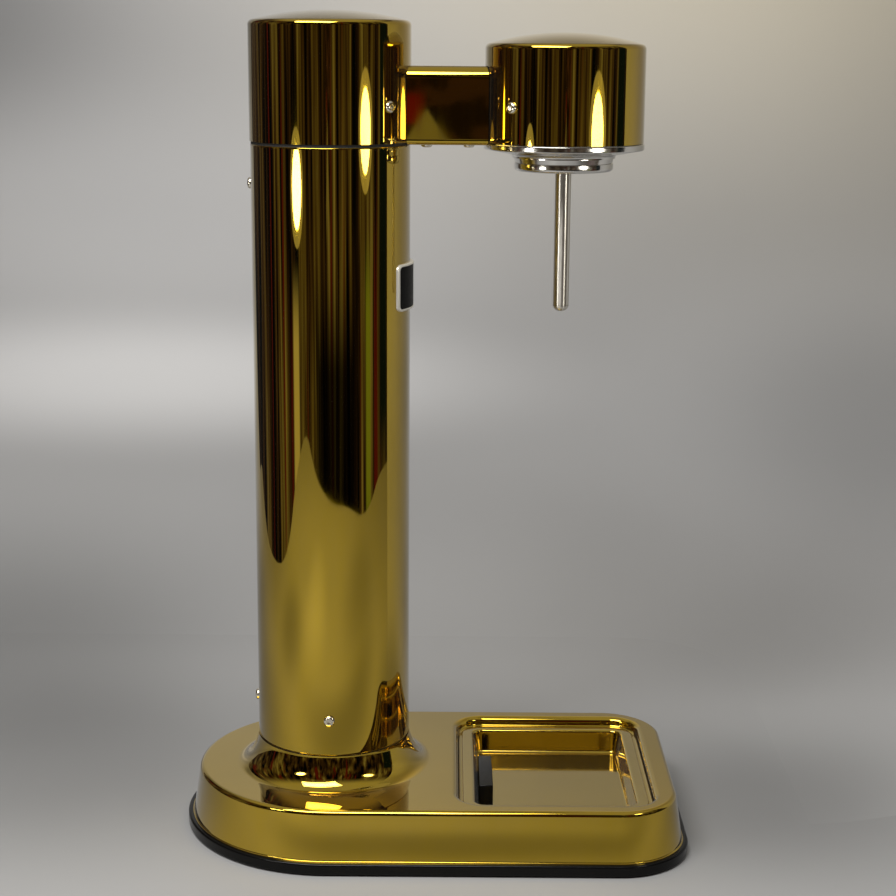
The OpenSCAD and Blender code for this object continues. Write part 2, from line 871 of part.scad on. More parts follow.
module arm_section(inset) {
    half = arm_width / 2 - inset;
    top = max(arm_top_edge - inset, inner_edge);
    low = max(arm_low_edge - inset, inner_edge);
    z0 = arm_z + inset;
    z1 = arm_top - inset;
    for (side = [-1, 1]) {
        translate([side * (half - top), z1 - top]) circle(top, $fn = 48);
        translate([side * (half - low), z0 + low]) circle(low, $fn = 48);
    }
    polygon([
        [-half, z0 + low], [-half + low, z0], [half - low, z0], [half, z0 + low],
        [half, z1 - top], [half - top, z1], [-half + top, z1], [-half, z1 - top]
    ]);
}

module arm_screw_holes(r) {
    for (side = [-1, 1]) translate([arm_x + side * arm_screw_pitch / 2, 0, arm_z - past])
        cylinder(h = beam_z - arm_z + arm_screw_bite + 2 * past, r = r, $fn = 24);
}

module arm_shell() {
    color(gold) difference() {
        translate([column_x, 0, 0]) rotate([90, 0, 90]) linear_extrude(head_reach) difference() {
            arm_section(0);
            arm_section(shell_wall);
        }
        translate([column_x, 0, arm_z - past])
            cylinder(h = arm_height + 2 * past, r = cap_radius + idle_gap);
        translate([head_x, 0, arm_z - past])
            cylinder(h = arm_height + 2 * past, r = head_radius + rim_step + idle_gap);
        arm_screw_holes(button_shank + screw_gap);
    }
}

module arm_beam() {
    color(alloy) difference() {
        union() {
            translate([beam_start, -beam_half, beam_z])
                cube([beam_end - beam_start, 2 * beam_half, beam_height]);
            for (side = [-1, 1]) translate([arm_x + side * arm_screw_pitch / 2, 0, arm_floor])
                cylinder(h = beam_z - arm_floor + past, r = beam_post, $fn = 32);
        }
        arm_screw_holes(button_shank + screw_gap);
        for (x = beam_screw_places) translate([x, 0, beam_z - past])
            cylinder(h = beam_height + 2 * past, r = beam_screw_shank + screw_gap, $fn = 24);
    }
}

module arm_screws() {
    color(steel) for (side = [-1, 1])
        translate([arm_x + side * arm_screw_pitch / 2, 0, arm_z]) rotate([180, 0, 0])
            button_screw(beam_z - arm_z + arm_screw_bite);
}

module beam_screws() {
    color(steel) for (x = beam_screw_places) translate([x, 0, beam_top])
        screw(beam_screw_shank, beam_screw_head, beam_screw_tall,
            beam_height + beam_screw_bite, small_socket);
}

// Head

module head_shell() {
    color(gold) difference() {
        translate([head_x, 0, 0]) domed_shell(head_radius, head_z, head_side, head_dome);
        for (side = [-1, 1]) wall_hole(head_x, head_radius, side * head_screw_angle,
            side_screw_z, button_shank + screw_gap);
        translate([head_x - head_radius - past, -opening_half, head_z - past])
            cube([head_radius + past, 2 * opening_half, opening_top - head_z + past]);
    }
}

module head_screws() {
    color(steel) for (side = [-1, 1])
        on_wall(head_x, head_radius, side * head_screw_angle, side_screw_z) button_screw(button_length);
}

module head_frame() {
    color(alloy) difference() {
        union() {
            translate([head_x, 0, frame_disc_z])
                cylinder(h = beam_z - frame_disc_z, r = head_inner - seat_gap);
            lugs(head_x, head_inner - seat_gap, head_screw_angle, beam_z - past);
        }
        translate([head_x, 0, frame_disc_z - past])
            cylinder(h = drill, r = holder_shank + screw_gap, $fn = 48);
        for (side = [-1, 1]) wall_hole(head_x, head_radius, side * head_screw_angle,
            side_screw_z, button_shank + screw_gap);
        for (i = [2, 3]) translate([beam_screw_places[i], 0, frame_disc_z - past])
            cylinder(h = drill, r = beam_screw_shank + screw_gap, $fn = 24);
        for (angle = plate_screw_angles) translate([head_x, 0, frame_disc_z - past])
            rotate(angle) translate([plate_screw_circle, 0, 0])
                cylinder(h = drill, r = plate_screw_shank + screw_gap, $fn = 24);
    }
}

module head_plate() {
    rim = head_radius + rim_step;
    neck = collar_radius + skirt_step;
    color(steel) difference() {
        translate([head_x, 0, 0]) rotate_extrude() polygon(concat(
            [[holder_shank + screw_gap, plate_top_z], [rim - rim_break, plate_top_z],
             [rim, plate_top_z - rim_break]],
            arc(rim - rim_edge, rim_z + rim_edge, rim_edge, 0, -rim_turn),
            arc(neck + skirt_fillet, skirt_z + skirt_break, skirt_fillet, 180 - skirt_turn, 180),
            [[neck, skirt_z], [collar_bore, skirt_z], [collar_bore, ceiling_z],
             [holder_shank + screw_gap, ceiling_z]]
        ));
        for (angle = plate_screw_angles) translate([head_x, 0, plate_top_z - plate_screw_seat])
            rotate(angle) translate([plate_screw_circle, 0, 0])
                cylinder(h = plate_screw_seat + past, r = plate_screw_shank + screw_gap, $fn = 24);
    }
}

module plate_screws() {
    color(steel) for (angle = plate_screw_angles) translate([head_x, 0, beam_z])
        rotate(angle) translate([plate_screw_circle, 0, 0])
            screw(plate_screw_shank, plate_screw_head, plate_screw_tall,
                beam_z - plate_top_z + plate_screw_bite, small_socket);
}

module bottle_collar() {
    r = collar_radius;
    mid = collar_z + collar_height * 0.55;
    groove = collar_groove;
    color(steel) translate([head_x, 0, 0]) rotate_extrude() polygon(concat(
        [[collar_bore, collar_top], [r - collar_break, collar_top], [r, collar_top - collar_break],
         [r, mid + groove], [r - groove, mid], [r, mid - groove]],
        arc(r - collar_edge, collar_z + collar_edge, collar_edge, 0, -90),
        [[collar_bore + collar_mouth, collar_z], [collar_bore, collar_z + collar_mouth]]
    ));
}

module bottle_seal() {
    color(rubber) translate([head_x, 0, 0])
        ring(collar_bore - touch_gap, holder_radius + seal_land,
            ceiling_z - touch_gap - seal_thickness, seal_thickness);
}

module nozzle_holder() {
    color(steel) translate([head_x, 0, 0]) difference() {
        union() {
            translate([0, 0, ceiling_z - touch_gap - holder_length])
                cylinder(h = holder_length, r = holder_radius, $fn = 6);
            translate([0, 0, ceiling_z - past])
                cylinder(h = holder_top - ceiling_z + past, r = holder_shank, $fn = 48);
        }
        translate([0, 0, collar_z])
            cylinder(h = ceiling_z - collar_z + holder_seat, r = nozzle_radius + touch_gap, $fn = 48);
        translate([0, 0, collar_z])
            cylinder(h = holder_top + past - collar_z, r = jet_radius, $fn = 24);
    }
}

module nozzle_tube() {
    foot = nozzle_z + tip_length + touch_gap;
    color(steel) translate([head_x, 0, 0])
        ring(nozzle_radius, nozzle_radius - nozzle_wall, foot, ceiling_z + nozzle_grip - foot);
}

module nozzle_tip() {
    r = nozzle_radius;
    color(steel) translate([head_x, 0, nozzle_z]) rotate_extrude($fn = 48) polygon(concat(
        [[tip_bore, 0]],
        arc(r - tip_edge, tip_edge, tip_edge, -90, 0),
        [[r, tip_length], [r - nozzle_wall - touch_gap, tip_length],
         [r - nozzle_wall - touch_gap, tip_length + tip_spigot],
         [tip_bore, tip_length + tip_spigot]]
    ));
}

module gas_manifold() {
    color(brass) difference() {
        translate([head_x, 0, manifold_z]) cylinder(h = manifold_top - manifold_z, r = manifold_radius);
        translate([head_x, 0, manifold_z - past])
            cylinder(h = holder_top - manifold_z + past + touch_gap, r = holder_shank + touch_gap, $fn = 48);
        translate([head_x, 0, manifold_z])
            cylinder(h = manifold_height + past, r = bore_radius, $fn = 32);
        translate([head_x - manifold_radius - past, 0, pipe_z]) rotate([0, 90, 0]) {
            cylinder(h = manifold_radius, r = jet_radius, $fn = 24);
            cylinder(h = pipe_seat + past, r = pipe_radius + touch_gap, $fn = 32);
        }
    }
}

module relief_body() {
    color(brass) translate([head_x, 0, relief_z + touch_gap]) difference() {
        cylinder(h = relief_height - touch_gap, r = relief_radius, $fn = 6);
        translate([0, 0, relief_floor]) cylinder(h = relief_height, r = relief_bore, $fn = 48);
        translate([0, 0, -past]) cylinder(h = relief_floor + 2 * past, r = relief_port, $fn = 24);
    }
}

module relief_poppet() {
    z = relief_z + relief_floor + 2 * touch_gap;
    color(brass) translate([head_x, 0, z]) {
        cylinder(h = poppet_height, r = relief_bore - running_gap, $fn = 48);
        cylinder(h = poppet_height + poppet_stem, r = poppet_stem_radius, $fn = 24);
    }
}

module relief_spring() {
    z = relief_z + relief_floor + poppet_height + 3 * touch_gap;
    color(steel) translate([head_x, 0, 0]) coil(relief_spring_radius, relief_spring_wire,
        relief_spring_turns, z, spring_top - touch_gap);
}

module relief_cap() {
    color(brass) translate([head_x, 0, 0]) difference() {
        union() {
            translate([0, 0, spring_top])
                cylinder(h = relief_plug, r = relief_bore - touch_gap, $fn = 48);
            translate([0, 0, spring_top + relief_rim + touch_gap])
                cylinder(h = relief_cap_height, r = relief_radius - relief_rim, $fn = 48);
        }
        translate([0, 0, spring_top - past])
            cylinder(h = short_drill, r = relief_port, $fn = 24);
    }
}

// Gas line

module pipe_nut(x) {
    color(brass) translate([x, 0, pipe_z]) rotate([0, 90, 0]) difference() {
        cylinder(h = nut_length, r = nut_radius, $fn = 6);
        translate([0, 0, -past]) cylinder(h = nut_length + 2 * past, r = pipe_radius + touch_gap, $fn = 32);
    }
}

module gas_pipe() {
    from = column_x + valve_radius - pipe_seat + touch_gap;
    to = head_x - manifold_radius + pipe_seat - touch_gap;
    color(brass) translate([from, 0, pipe_z]) rotate([0, 90, 0]) difference() {
        cylinder(h = to - from, r = pipe_radius, $fn = 32);
        translate([0, 0, -past]) cylinder(h = to - from + 2 * past, r = pipe_radius - pipe_wall, $fn = 24);
    }
}

// Valve

module valve_body() {
    color(brass) translate([column_x, 0, 0]) difference() {
        union() {
            translate([0, 0, valve_z]) cylinder(h = flange_z - valve_z + past, r = valve_low_radius);
            translate([0, 0, flange_z]) cylinder(h = valve_top - flange_z, r = valve_radius);
            intersection() {
                translate([0, 0, flange_z]) cylinder(h = flange_height, r = flange_radius);
                translate([-flange_radius, -flange_half, flange_z])
                    cube([2 * flange_radius, 2 * flange_half, flange_height]);
            }
        }
        translate([0, 0, valve_z - past]) cylinder(h = thread_length + past, r = thread_radius);
        translate([0, 0, thread_top - past])
            cylinder(h = seal_height + past, r = seal_radius + touch_gap);
        cylinder(h = chamber_top, r = chamber_radius, $fn = 32);
        translate([0, 0, chamber_top - past])
            cylinder(h = ring_top - chamber_top + past, r = ring_radius + touch_gap, $fn = 48);
        translate([0, 0, ring_top])
            cylinder(h = valve_above + past, r = gland_shank + touch_gap, $fn = 48);
        for (i = [0:3]) rotate(45 + 90 * i) translate([valve_screw_circle, 0, flange_z - past])
            cylinder(h = flange_height + 2 * past, r = valve_screw_shank + screw_gap, $fn = 24);
        translate([0, 0, pipe_z]) rotate([0, 90, 0]) {
            cylinder(h = valve_radius, r = jet_radius, $fn = 24);
            translate([0, 0, valve_radius - pipe_seat])
                cylinder(h = pipe_seat + past, r = pipe_radius + touch_gap, $fn = 32);
        }
    }
}

module gas_seal() {
    color(rubber) translate([column_x, 0, 0])
        ring(seal_radius, seal_bore, thread_top + touch_gap, seal_height - 2 * touch_gap);
}

module pin_seal() {
    color(rubber) translate([column_x, 0, 0])
        ring(ring_radius, pin_radius + running_gap, chamber_top + touch_gap,
            ring_top - chamber_top - 2 * touch_gap);
}

module gland_nut() {
    color(steel) translate([column_x, 0, 0]) difference() {
        union() {
            translate([0, 0, ring_top]) cylinder(h = gland_shank_length, r = gland_shank, $fn = 48);
            translate([0, 0, valve_top + touch_gap])
                cylinder(h = gland_top - valve_top - touch_gap, r = gland_radius, $fn = 6);
        }
        translate([0, 0, ring_top - past])
            cylinder(h = drill, r = pin_radius + running_gap, $fn = 32);
        translate([0, 0, pocket_z]) cylinder(h = drill, r = pocket_radius, $fn = 48);
    }
}

module push_pin() {
    color(steel) translate([column_x, 0, 0]) {
        translate([0, 0, pin_foot]) cylinder(h = pin_top - pin_foot, r = pin_radius, $fn = 32);
        translate([0, 0, pin_collar_z]) cylinder(h = pin_collar_height, r = pin_collar, $fn = 48);
    }
}

module pin_spring() {
    color(steel) translate([column_x, 0, 0])
        coil(pin_spring_radius, pin_spring_wire, pin_spring_turns,
            pocket_z + touch_gap, pin_collar_z - touch_gap);
}

module valve_screws() {
    color(steel) for (i = [0:3]) translate([column_x, 0, flange_z + flange_height])
        rotate(45 + 90 * i) translate([valve_screw_circle, 0, 0])
            screw(valve_screw_shank, valve_screw_head, valve_screw_tall,
                flange_height + bracket_base + valve_screw_bite, valve_screw_socket);
}

// Shaft and lever. Everything here lies along Y at the shaft's axis.

module along_shaft(y) {
    translate([shaft_x, y, shaft_z]) rotate([-90, 0, 0]) children();
}

module shaft_bracket() {
    half = ear_in + ear_thickness;
    color(alloy) difference() {
        union() {
            translate([column_x - flange_radius, -half, deck_top])
                cube([2 * flange_radius, 2 * half, bracket_base]);
            for (y = [-half, ear_in]) translate([0, y + ear_thickness, 0]) rotate([90, 0, 0])
                linear_extrude(ear_thickness) {
                    translate([shaft_x, shaft_z]) circle(ear_radius);
                    polygon([
                        [column_x - flange_radius, deck_top + bracket_base - touch_gap],
                        [column_x + ear_foot, deck_top + bracket_base - touch_gap],
                        [shaft_x + ear_radius, shaft_z], [shaft_x - ear_radius, shaft_z]
                    ]);
                }
        }
        translate([column_x, 0, deck_top - past])
            cylinder(h = bracket_base + 2 * past, r = valve_low_radius + seat_gap);
        for (i = [0:3]) translate([column_x, 0, deck_top - past]) rotate(45 + 90 * i)
            translate([valve_screw_circle, 0, 0])
                cylinder(h = short_drill, r = valve_screw_shank + screw_gap, $fn = 24);
        along_shaft(-half - past)
            cylinder(h = 2 * half + 2 * past, r = shaft_radius + bush_wall + touch_gap, $fn = 48);
    }
}

module bush(length, flange_at) {
    difference() {
        union() {
            cylinder(h = length, r = shaft_radius + bush_wall, $fn = 48);
            translate([0, 0, flange_at])
                cylinder(h = bush_flange, r = shaft_radius + bush_wall + bush_step);
        }
        translate([0, 0, -past]) cylinder(h = length + 4 * past, r = shaft_radius + running_gap);
    }
}

module bush_near() {
    color(brass) along_shaft(-ear_in - ear_thickness - touch_gap - bush_flange)
        bush(ear_thickness + bush_flange, 0);
}

module bush_far() {
    color(brass) along_shaft(ear_in) bush(ear_thickness + touch_gap, ear_thickness + touch_gap);
}

module cap_bush() {
    color(steel) along_shaft(cap_radius - cap_bush_in) difference() {
        cylinder(h = cap_bush_in + cap_bush_out, r = cap_bush_radius);
        translate([0, 0, -past]) cylinder(h = short_drill, r = shaft_radius + running_gap);
    }
}

module lever_shaft() {
    color(steel) difference() {
        along_shaft(shaft_near) cylinder(h = shaft_far - shaft_near, r = shaft_radius);
        along_shaft(shaft_near + clip_inset) difference() {
            cylinder(h = clip_width, r = shaft_radius + past);
            translate([0, 0, -past])
                cylinder(h = clip_width + 2 * past, r = shaft_radius - clip_groove);
        }
        along_shaft(shaft_far - shaft_thread)
            cylinder(h = shaft_thread + past, r = button_shank + screw_gap, $fn = 24);
        translate([shaft_x, 0, shaft_z])
            cylinder(h = short_drill, r = button_shank + screw_gap, $fn = 24);
    }
}

module shaft_clip() {
    color(steel) along_shaft(shaft_near + clip_inset + touch_gap) difference() {
        cylinder(h = clip_width - 2 * touch_gap, r = shaft_radius + clip_ring);
        translate([0, 0, -past])
            cylinder(h = clip_width + 2 * past, r = shaft_radius - clip_groove + touch_gap);
    }
}

module cam() {
    color(steel) difference() {
        translate([shaft_x, cam_half, shaft_z]) rotate([90, 0, 0]) linear_extrude(2 * cam_half) {
            circle(cam_hub);
            rotate(half_turn) {
                translate([cam_reach, 0]) circle(nose_radius);
                translate([0, -cam_below]) square([cam_reach, cam_finger]);
            }
        }
        along_shaft(-cam_half - past)
            cylinder(h = 2 * cam_half + 2 * past, r = shaft_radius + press_gap);
        translate([shaft_x, 0, shaft_z])
            cylinder(h = short_drill, r = button_shank + screw_gap, $fn = 24);
    }
}

module cam_screw() {
    long = cam_hub - cam_screw_foot;
    color(steel) translate([shaft_x, 0, shaft_z + cam_screw_foot]) difference() {
        cylinder(h = long, r = button_shank, $fn = 24);
        translate([0, 0, long - cam_screw_seat])
            cylinder(h = cam_screw_seat + past, r = cam_screw_socket, $fn = 6);
    }
}

module along_rod(distance) {
    translate([shaft_x, rod_y, shaft_z]) rotate([0, 90 + rod_slope, 0])
        translate([0, 0, distance]) children();
}

module lever_arm() {
    color(gold) difference() {
        union() {
            along_shaft(hub_y) rotate_extrude() polygon([
                [0, 0], [hub_radius - hub_inner_edge, 0], [hub_radius, hub_inner_edge],
                [hub_radius, hub_width - hub_edge], [hub_radius - hub_edge, hub_width],
                [0, hub_width]
            ]);
            along_rod(0) cylinder(h = rod_length - rod_in, r = rod_radius, $fn = 48);
        }
        along_shaft(hub_y - past)
            cylinder(h = shaft_far - hub_y + past + touch_gap, r = shaft_radius + press_gap);
        along_shaft(hub_y) cylinder(h = hub_width + past, r = button_shank + screw_gap, $fn = 24);
    }
}

module lever_grip() {
    r = grip_radius;
    color(steel) along_rod(rod_length - grip_length) rotate_extrude($fn = 64) polygon(concat(
        [[rod_radius + touch_gap, 0], [r - grip_mouth, 0]],
        arc(r - grip_edge, grip_edge, grip_edge, -90, 0),
        arc(r - grip_end_edge, grip_length - grip_end_edge, grip_end_edge, 0, 90),
        [[0, grip_length], [0, grip_length - rod_in + touch_gap],
         [rod_radius + touch_gap, grip_length - rod_in + touch_gap]]
    ));
}

module lever_screw() {
    color(steel) along_shaft(hub_y + hub_width + touch_gap)
        screw(button_shank, lever_screw_head, lever_screw_tall, lever_screw_length,
            lever_screw_socket);
}

// Drip tray

module drip_tray() {
    rim = tray_rim - tray_gap;
    low = well_z - tray_wall;
    draft = tray_draft;
    color(gold) union() {
        around(well_outline) polygon(concat(
            [[rim, ledge_z], [rim, tray_z]],
            arc(tray_edge, tray_z - tray_edge, tray_edge, 90, 180),
            [[-draft, well_z], [-draft - lap, well_z], [-draft - lap, low], [-draft + tray_wall, low],
             [tray_wall, ledge_z]]
        ));
        translate([0, 0, low]) linear_extrude(tray_wall)
            inside(well_outline, draft + lap / 2);
    }
}

module tray_block() {
    edge = 1;
    color(black) translate([block_x, -block_length / 2, well_z + touch_gap]) union() {
        cube([block_thickness, block_length, block_height - edge]);
        translate([edge, edge, 0])
            cube([block_thickness - 2 * edge, block_length - 2 * edge, block_height]);
    }
}

base_shell();
base_plate();
foot(0);  // foot_back_near
foot(1);  // foot_back_far
foot(2);  // foot_front_near
foot(3);  // foot_front_far
column_foot();
column_tube();
top_frame();
column_cap();
arm_shell();
arm_beam();
head_shell();
head_frame();
head_plate();
bottle_collar();
bottle_seal();
nozzle_holder();
nozzle_tube();
nozzle_tip();
gas_manifold();
relief_body();
relief_poppet();
relief_spring();
relief_cap();
gas_pipe();
pipe_nut(column_x + valve_radius + touch_gap);  // pipe_nut_valve
pipe_nut(head_x - manifold_radius - touch_gap - nut_length);  // pipe_nut_head
valve_body();
gas_seal();
pin_seal();
gland_nut();
push_pin();
pin_spring();
shaft_bracket();
bush_near();
bush_far();
cap_bush();
lever_shaft();
shaft_clip();
cam();
cam_screw();
lever_arm();
lever_grip();
lever_screw();
drip_tray();
tray_block();
badge_rim();
badge_field();
column_screws();
cap_screws();
head_screws();
arm_screws();
base_screws();
foot_screws();
beam_screws();
valve_screws();
plate_screws();
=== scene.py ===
"""Dresses the sparkling water maker for a studio picture.

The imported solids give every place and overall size. What the picture sees of
the polished metal is made again here as smooth sheet metal over them.
Lengths are in millimetres up to the moment that a mesh is made, and those of
the studio round the machine are in metres.
"""
import json
from math import asin, atan, cos, degrees, hypot, pi, radians, sin, sqrt, tan

import bmesh
import bpy
from mathutils import Matrix, Vector


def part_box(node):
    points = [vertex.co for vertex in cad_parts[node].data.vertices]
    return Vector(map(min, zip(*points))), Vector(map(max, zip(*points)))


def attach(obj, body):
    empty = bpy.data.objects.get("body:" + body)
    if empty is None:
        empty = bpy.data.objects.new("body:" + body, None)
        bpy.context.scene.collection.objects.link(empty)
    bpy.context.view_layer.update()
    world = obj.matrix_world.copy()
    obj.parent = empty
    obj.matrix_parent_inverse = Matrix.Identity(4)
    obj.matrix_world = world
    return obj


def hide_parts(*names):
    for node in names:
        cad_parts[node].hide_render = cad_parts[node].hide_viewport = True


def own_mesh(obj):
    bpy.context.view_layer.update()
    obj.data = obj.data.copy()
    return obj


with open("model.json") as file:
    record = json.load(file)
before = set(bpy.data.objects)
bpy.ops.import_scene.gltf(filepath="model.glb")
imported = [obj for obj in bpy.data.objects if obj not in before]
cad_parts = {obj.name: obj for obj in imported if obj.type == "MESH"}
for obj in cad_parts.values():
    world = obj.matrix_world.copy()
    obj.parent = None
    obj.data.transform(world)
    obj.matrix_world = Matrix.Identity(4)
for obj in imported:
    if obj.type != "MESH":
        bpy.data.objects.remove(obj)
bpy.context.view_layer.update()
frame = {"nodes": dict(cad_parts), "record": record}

MM = 0.001
scene = bpy.context.scene


def extent(node):
    """Lowest and highest corners of a solid, in millimetres."""
    low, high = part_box(node)
    return low / MM, high / MM


TUBE_LOW, TUBE_HIGH = extent("column_tube")
CAP_LOW, CAP_HIGH = extent("column_cap")
HEAD_LOW, HEAD_HIGH = extent("head_shell")
ARM_LOW, ARM_HIGH = extent("arm_shell")
PLATE_LOW, PLATE_HIGH = extent("base_plate")
SHELL_LOW, SHELL_HIGH = extent("base_shell")
TRAY_LOW, TRAY_HIGH = extent("drip_tray")
BLOCK_LOW, BLOCK_HIGH = extent("tray_block")
STEEL_LOW, STEEL_HIGH = extent("head_plate")
COLLAR_LOW, COLLAR_HIGH = extent("bottle_collar")
NOZZLE_LOW, NOZZLE_HIGH = extent("nozzle_tube")
TIP_LOW, TIP_HIGH = extent("nozzle_tip")
BADGE_LOW, BADGE_HIGH = extent("badge_rim")
SHAFT_LOW, SHAFT_HIGH = extent("lever_shaft")
FEET = ("foot_back_near", "foot_back_far", "foot_front_near", "foot_front_far")

COLUMN_X = (TUBE_LOW.x + TUBE_HIGH.x) / 2
HEAD_X = (HEAD_LOW.x + HEAD_HIGH.x) / 2
TUBE_RADIUS = (TUBE_HIGH.x - TUBE_LOW.x) / 2
CAP_RADIUS = (CAP_HIGH.y - CAP_LOW.y) / 2
HEAD_RADIUS = (HEAD_HIGH.y - HEAD_LOW.y) / 2
ARM_HALF = (ARM_HIGH.y - ARM_LOW.y) / 2
STEEL_RADIUS = (STEEL_HIGH.x - STEEL_LOW.x) / 2
COLLAR_RADIUS = (COLLAR_HIGH.x - COLLAR_LOW.x) / 2
NOZZLE_RADIUS = (NOZZLE_HIGH.x - NOZZLE_LOW.x) / 2

SHEET = 1.5
FOOT_Z = PLATE_LOW.z
LEDGE_Z = SHELL_LOW.z
SEAM_Z = SHELL_HIGH.z
NECK_RISE = 15.9
BASE_Z = SEAM_Z - NECK_RISE

FRONT_CORNER = 37.0
BASE_HALF = PLATE_HIGH.y
FRONT_X = PLATE_HIGH.x - FRONT_CORNER
FRONT_Y = BASE_HALF - FRONT_CORNER
SHELL_LEDGE = 3.0
SHELL_LEAN = 3.9
SHELL_EDGE = 2.6
NECK_RADIUS = TUBE_RADIUS + 0.2
NECK_FILLET = 11.0

RECESS_HALF_X = 52.1
RECESS_HALF_Y = 62.5
RECESS_SLOPE = 5.1
RECESS_DEPTH = 5.0
RECESS_SOFT_SHARE = 0.62
TRAY_RIM = 6.7
TRAY_CORNER = 5.0
TRAY_SHEET = 1.2
TRAY_LEAN = 1.9
TRAY_GAP = 0.25
BAY_RADIUS = 33.0

SHAFT_RADIUS = (SHAFT_HIGH.x - SHAFT_LOW.x) / 2
GRIP_LENGTH = 28.0
LEVER_REACH = 143.0
LEVER_DROP = 22.0

DOME_EDGE = 2.6
CAP_LIFT = 0.4
CAP_SIDE = 57.7
HEAD_SIDE = 47.3
ARM_TOP_EDGE = 5.5
ARM_LOW_EDGE = 2.6
COPE_GAP = 0.1
COLLAR_BORE = 20.5
NOZZLE_WIDER = 0.45
SCREW_HEAD = 2.85
FIT = 0.05


def facing_arc(x, y, radius, start, end, steps):
    """Points on an arc from start to end, in degrees, each with the way that it faces."""
    turns = [radians(start + (end - start) * i / steps) for i in range(steps + 1)]
    return [(x + radius * cos(a), y + radius * sin(a), cos(a), sin(a)) for a in turns]


def arc(x, y, radius, start, end, steps):
    """Points on an arc from start to end, in degrees."""
    return [point[:2] for point in facing_arc(x, y, radius, start, end, steps)]


def eased(points, gap=0.5, closed=False):
    """Adds a point just inside both ends of every long straight, so that its shading stays flat."""
    result = []
    for (ax, ay), (bx, by) in zip(points, points[1:] + (points[:1] if closed else [])):
        result.append((ax, ay))
        run = hypot(bx - ax, by - ay)
        if run > 4 * gap:
            for t in (gap / run, 1 - gap / run):
                result.append((ax + (bx - ax) * t, ay + (by - ay) * t))
    if not closed:
        result.append(points[-1])
    return result


class Builder:
    """Collects rings of points in millimetres and joins them with faces."""

    def __init__(self):
        self.mesh = bmesh.new()

    def ring(self, points):
        return [self.mesh.verts.new(Vector(p) * MM) for p in points]

    def band(self, low, high, closed=True):
        count = len(low)
        for i in range(count if closed else count - 1):
            j = (i + 1) % count
            self.mesh.faces.new((low[i], low[j], high[j], high[i]))

    def bands(self, rings, closed=True):
        for low, high in zip(rings, rings[1:]):
            self.band(low, high, closed)

    def swept(self, points, profile):
        """Rings of an outline at each (outwards, height) of a profile, joined with faces."""
        rings = [self.ring([(x + nx * out, y + ny * out, z) for x, y, nx, ny in points])
                 for out, z in profile]
        self.bands(rings)
        return rings

    def fill(self, *rings):
        """Fills the flat area between closed rings."""
        edges = []
        for ring in rings:
            for i, vert in enumerate(ring):
                other = ring[(i + 1) % len(ring)]
                edges.append(self.mesh.edges.get((vert, other)) or self.mesh.edges.new((vert, other)))
        bmesh.ops.triangle_fill(self.mesh, use_beauty=True, use_dissolve=False, edges=edges)

    def shell(self, name, outwards, thickness):
        """Gives the sheet its wall, on the side away from outwards, a point on the outer side."""
        bmesh.ops.remove_doubles(self.mesh, verts=self.mesh.verts, dist=1e-6)
        bmesh.ops.recalc_face_normals(self.mesh, faces=self.mesh.faces)
        probe = Vector(outwards) * MM
        nearest = min(self.mesh.faces, key=lambda f: (f.calc_center_median() - probe).length)
        if nearest.normal.dot(probe - nearest.calc_center_median()) < 0:
            bmesh.ops.reverse_faces(self.mesh, faces=self.mesh.faces)
        piece = self.object(name)
        wall = piece.modifiers.new("wall", "SOLIDIFY")
        wall.thickness = thickness * MM
        wall.offset = -1
        wall.use_even_offset = True
        wall.use_quality_normals = True
        return baked(piece)

    def solid(self, name, sharp=32):
        bmesh.ops.remove_doubles(self.mesh, verts=self.mesh.verts, dist=1e-6)
        bmesh.ops.dissolve_degenerate(self.mesh, edges=self.mesh.edges, dist=1e-7)
        bmesh.ops.recalc_face_normals(self.mesh, faces=self.mesh.faces)
        return smoothed(self.object(name), sharp)

    def object(self, name):
        mesh = bpy.data.meshes.new(name)
        self.mesh.to_mesh(mesh)
        self.mesh.free()
        return linked(name, mesh)


def linked(name, data):
    """A new object in the scene."""
    piece = bpy.data.objects.new(name, data)
    scene.collection.objects.link(piece)
    return piece


def smoothed(piece, sharp=32):
    mesh = piece.data
    mesh.polygons.foreach_set("use_smooth", [True] * len(mesh.polygons))
    mesh.set_sharp_from_angle(angle=radians(sharp))
    return piece


def baked(piece):
    """The piece with its modifiers applied, as a plain mesh."""
    evaluated = piece.evaluated_get(bpy.context.evaluated_depsgraph_get())
    mesh = bpy.data.meshes.new_from_object(evaluated)
    mesh.name = piece.name
    piece.modifiers.clear()
    piece.data = mesh
    return smoothed(piece)


def finished(piece, material, body, *nodes):
    """Gives a piece its finish, and puts it on its body in place of the nodes."""
    piece.data.materials.clear()
    piece.data.materials.append(material)
    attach(piece, body)
    if nodes:
        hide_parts(*nodes)
    return piece


TURNS = 192


def around(facing):
    """Maps (radius, angle, height) to a place round the Z axis of a matrix."""
    return lambda r, a, h: facing @ Vector((r * cos(a), r * sin(a), h))


def upright(x, y=0.0):
    return around(Matrix.Translation((x, y, 0)))


def revolved(name, profile, place, turns=TURNS):
    """A closed profile of (radius, height) turned round an axis."""
    builder = Builder()
    profile = eased(profile, closed=True)
    rings = [builder.ring([place(r, 2 * pi * i / turns, h) for i in range(turns)]) for r, h in profile]
    builder.bands(rings + rings[:1])
    return builder.solid(name)


def outline(corners, arc_steps=40, gap=0.8, shares=None):
    """Samples a closed outline of corner arcs and straights as (x, y, normal x, normal y)."""
    points = []
    for here, after in zip(corners, corners[1:] + corners[:1]):
        points += facing_arc(*here, max(8, round(arc_steps * abs(here[4] - here[3]) / 90)))
        ax, ay, nx, ny = points[-1]
        bx, by = arc(*after, 1)[0]
        run = hypot(bx - ax, by - ay)
        if shares or run > 3 * gap:
            along = shares or (gap / run, 0.5, 1 - gap / run)
            points += [(ax + (bx - ax) * t, ay + (by - ay) * t, nx, ny) for t in along]
    return points


